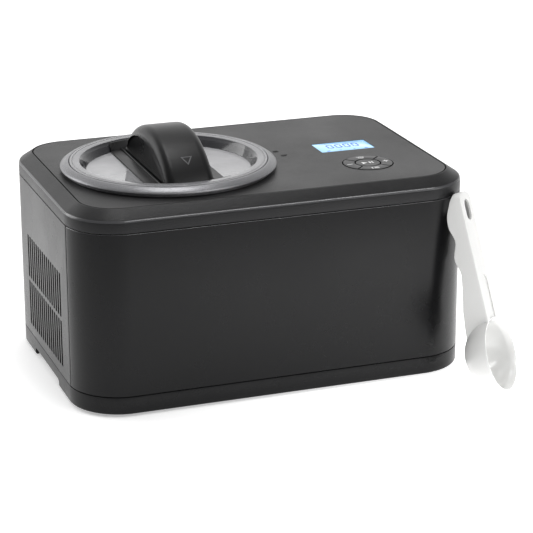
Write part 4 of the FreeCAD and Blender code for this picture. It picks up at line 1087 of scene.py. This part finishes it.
def key_marks():
    """The white signs on the keys: play and pause, a clock, plus, minus and a list."""
    z = KEY_TOP + INK_GAP
    top = z + INK_T
    r = (KEY_MID_R + KEY_R) / 2
    play = plate("mark", [(KEY_X - 6.4, KEY_Y + 3.4), (KEY_X - 6.4, KEY_Y - 3.4), (KEY_X - 0.6, KEY_Y)],
                 z, top)
    clock_face = turned("mark", [(2.3, z), (3.1, z), (3.1, top), (2.3, top)], KEY_X, KEY_Y + r, 32)
    hands = [bar_mark(-0.35, 0.35, r - 0.2, r + 1.9, z), bar_mark(-0.35, 1.5, r - 0.5, r + 0.2, z)]
    signs = {
        "start": [play] + repeated(bar_mark(1.4, 2.9, -3.2, 3.2, z), shift(3.0, 0)),
        "timer": [clock_face] + hands + repeated(bar_mark(-4.1, -3.1, r + 1.8, r + 3.0, z), shift(7.2, 0)),
        "plus": [bar_mark(r - 3, r + 3, -0.6, 0.6, z), bar_mark(r - 0.6, r + 0.6, -3, 3, z)],
        "minus": [bar_mark(-r - 3, -r + 3, -0.6, 0.6, z)],
        "menu": [bar_mark(-3.6, -2.4, -r - 2.4, -r + 2.4, z)]
                + repeated(bar_mark(-0.6, 4.4, -r - 2.35, -r - 1.45, z), shift(0, 1.9), shift(0, 3.8)),
    }
    for key, marks in signs.items():
        mark = joined([soften(one, 0.02, 1) for one in marks])
        mark.name = key + "_sign"
        hand_over(mark, key + "_button", "key_black", finish=symbol_white)


# ---------------------------------------------------------------- measuring scoop

SCOOP_R, SCOOP_DEEP, SCOOP_WALL, SCOOP_TIP, SCOOP_HALF = 38.6, 37.4, 2.2, 171.4, 14.7
SCOOP_NOTCHES = [(0, 0), (0, 9), (2, 10.2), (6, 12.0), (12, 14.5), (16, 16.6), (20, 18.3), (25, 19.6),
                 (30, 20.1), (35, 19.8), (39, 18.6), (43, 17.1), (47, 16.2), (51, 16.4), (56, 18.2),
                 (60, 20), (64, 21.2), (68, 21.3), (72, 20.5), (76, 19), (80, 17.9), (84, 17.7), (97, 19.9),
                 (110, 22.6)]


def ball(name, x, y, z):
    rest()
    bpy.ops.mesh.primitive_uv_sphere_add(segments=96, ring_count=64, radius=1.0, rotation=(0, math.pi / 2, 0))
    piece = settle(named(name))
    piece.scale = Vector((x, y, z)) * MM
    return settle(piece)


def scoop():
    """The scoop lies along +Z with its mouth towards +X while it is made, then leans on the case's corner."""
    side_on = Matrix(((0, 1, 0, 0), (0, 0, 1, 0), (1, 0, 0, 0), (0, 0, 0, 1)))
    face_on = Matrix(((0, 0, 1, 0), (1, 0, 0, 0), (0, 1, 0, 0), (0, 0, 0, 1)))
    half, tip = SCOOP_HALF, SCOOP_TIP
    outline = [(tip - below, -depth) for below, depth in SCOOP_NOTCHES]
    outline += [(50, -25.2), (30, -27.5), (20, -28), (20, 0)]
    handle = placed(plate("scoop_body", outline, -half, half), side_on)
    round_r = half - 3
    arc = [(half - round_r + round_r * math.sin(a), tip - round_r + round_r * math.cos(a))
           for a in [math.radians(n * 9) for n in range(11)]]
    front = [(half, 0)] + arc[::-1] + [(-x, z) for x, z in arc] + [(-half, 0)]
    combine(handle, placed(plate("front", front, -60, 5), face_on), "INTERSECT")
    soften(handle, 1.5, 4, 40)
    inner = half - 2.2
    combine(handle, block("channel", (-60, -inner, -5), (-2.2, inner, tip - 6)))
    slot = [(6 * math.cos(a), 5 + 6 * math.sin(a)) for a in [math.radians(n * 12) for n in range(16)]]
    slot += [(-x, -z) for x, z in slot]
    hole = plate("hole", [(x, z + tip - 19) for x, z in slot], -12, 5)
    combine(handle, placed(hole, face_on))
    label = [(7.5 * math.cos(a), tip - 95 + 7.5 * math.sin(a))
             for a in [math.radians(n * 15) for n in range(13)]]
    label += [(-7.5, 30), (7.5, 30)]
    combine(handle, placed(plate("label", label, -1.2, 5), face_on))
    cup = ball("cup", SCOOP_DEEP, SCOOP_R, SCOOP_R)
    pick_all(cup)
    bpy.ops.mesh.bisect(plane_co=(0, 0, 0), plane_no=(1, 0, 0), clear_outer=True, use_fill=True)
    rest()
    combine(handle, cup, "UNION")
    bowl_r, lip = SCOOP_R - 4.6, 4.2
    hollow = [(0, 3), (SCOOP_R + 1, 3), (SCOOP_R - 1.0, 0), (bowl_r, -lip)]
    hollow += [(bowl_r * math.cos(a), -lip - (SCOOP_DEEP - SCOOP_WALL - lip) * math.sin(a))
               for a in [math.radians(6 * n) for n in range(1, 16)]]
    hollow[-1] = (0, hollow[-1][1])
    combine(handle, placed(turned("hollow", hollow, 0, 0, 96), Matrix.Rotation(math.pi / 2, 4, "Y")))

    turn = (Matrix.Rotation(math.radians(-44.2), 4, "Z") @ Matrix.Rotation(math.radians(-19.1), 4, "Y")
            @ Matrix.Rotation(math.radians(-9.5), 4, "X"))
    placed(handle, turn)
    low = Vector([min(corner.co[axis] for corner in handle.data.vertices) for axis in range(3)])
    high = Vector([max(corner.co[axis] for corner in handle.data.vertices) for axis in range(3)])
    cad_low, cad_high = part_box("measuring_scoop")
    placed(handle, Matrix.Translation((cad_low + cad_high) / 2 - (low + high) / 2))
    hand_over(smooth(handle, 40), "scoop", "scoop_white", "measuring_scoop")


# ---------------------------------------------------------------- set, light and camera


def floor():
    rest()
    bpy.ops.mesh.primitive_plane_add(size=80.0, location=(0, 0, 0))
    plane = named("studio_floor")
    skin = Finish("studio_floor", Emission_Strength=1.9)
    pale = skin.noise(3.0, 2.0)
    skin.colour(skin.blend(pale, (0.90, 0.90, 0.90), (0.93, 0.93, 0.93)))
    # A painted pool of light: the floor glows brighter round a spot in front of the case and to its right,
    # fading out over 0.85 m.
    split = skin.nodes.new("ShaderNodeSeparateXYZ")
    skin.link(skin.place(), split.inputs[0])
    across = skin.calc("SUBTRACT", split.outputs["X"], 0.50)
    along = skin.calc("ADD", split.outputs["Y"], 0.55)
    away = distance(skin.nodes, skin.link, across, along)
    lit = remap(skin.nodes, skin.link, away, From_Min=0.05, From_Max=0.85, To_Min=1.0, To_Max=0.0)
    lit.interpolation_type = "SMOOTHSTEP"
    glow = skin.blend(lit.outputs["Result"], (0.20, 0.20, 0.20), (1.0, 1.0, 1.0))
    skin.link(glow, skin.shader.inputs["Emission Color"])
    skin.roughness(4.0, 0.75, 0.85)
    plane.data.materials.append(skin.material)


def soft_light(name, place, aim, wide, high, power):
    data = bpy.data.lights.new(name, "AREA")
    data.shape = "RECTANGLE"
    data.size, data.size_y, data.energy = wide, high, power
    lamp = bpy.data.objects.new(name, data)
    bpy.context.scene.collection.objects.link(lamp)
    lamp.location = place
    lamp.rotation_euler = (Vector(aim) - Vector(place)).to_track_quat("-Z", "Y").to_euler()


def studio():
    floor()
    world = bpy.data.worlds.new("studio")
    world.use_nodes = True
    nodes, link = world.node_tree.nodes, world.node_tree.links.new
    split = nodes.new("ShaderNodeSeparateXYZ")
    link(nodes.new("ShaderNodeTexCoord").outputs["Generated"], split.inputs[0])
    behind = calc(nodes, link, "MULTIPLY", calc(nodes, link, "MAXIMUM", split.outputs["Y"], 0.0), 0.98)
    up = calc(nodes, link, "POWER", calc(nodes, link, "MAXIMUM", split.outputs["Z"], 0.0), 4.0)
    above = calc(nodes, link, "MULTIPLY", up, 0.36)
    glow = calc(nodes, link, "ADD", calc(nodes, link, "ADD", behind, above), 0.26)
    seen = nodes.new("ShaderNodeLightPath").outputs["Is Camera Ray"]
    link(calc(nodes, link, "MAXIMUM", glow, seen), nodes["Background"].inputs["Strength"])
    nodes["Background"].inputs["Color"].default_value = (1.0, 1.0, 1.0, 1.0)
    bpy.context.scene.world = world
    soft_light("overhead", (0.05, 0.2, 1.9), (0.0, 0, 0.1), 0.6, 1.0, 13.0)
    soft_light("left_rear", (-1.7, 1.3, 0.9), (0, 0, 0.1), 1.4, 1.4, 17.0)
    soft_light("right_front", (1.5, -1.7, 0.8), (0.2, -0.3, 0.0), 1.2, 0.9, 6.0)
    soft_light("front_high", (0.75, -1.45, 1.9), (-0.05, 0, 0.1), 1.5, 0.4, 17.0)
    bpy.context.scene.view_settings.view_transform = "Standard"


def camera():
    data = bpy.data.cameras.new("camera")
    data.sensor_width = 36.0
    data.lens = 143.01
    data.clip_start, data.clip_end = 0.05, 50.0
    view = bpy.data.objects.new("camera", data)
    bpy.context.scene.collection.objects.link(view)
    right = Vector((0.941316, -0.337516, -0.002540))
    up = Vector((0.111348, 0.303424, 0.946327))
    ahead = right.cross(up)
    turn = Matrix((right, up, ahead)).transposed()
    view.matrix_world = Matrix.Translation((-0.694794, -2.036440, 0.829100)) @ turn.to_4x4()
    bpy.context.scene.camera = view


camera()
studio()
top_cover()
lock_marks()
front_panel()
rear_housing()
base_tray()
feet()
lid_ring()
clear_lid()
lid_tray()
lid_grip()
bowl()
display()
figures()
middle_key()
arc_keys()
key_marks()
scoop()
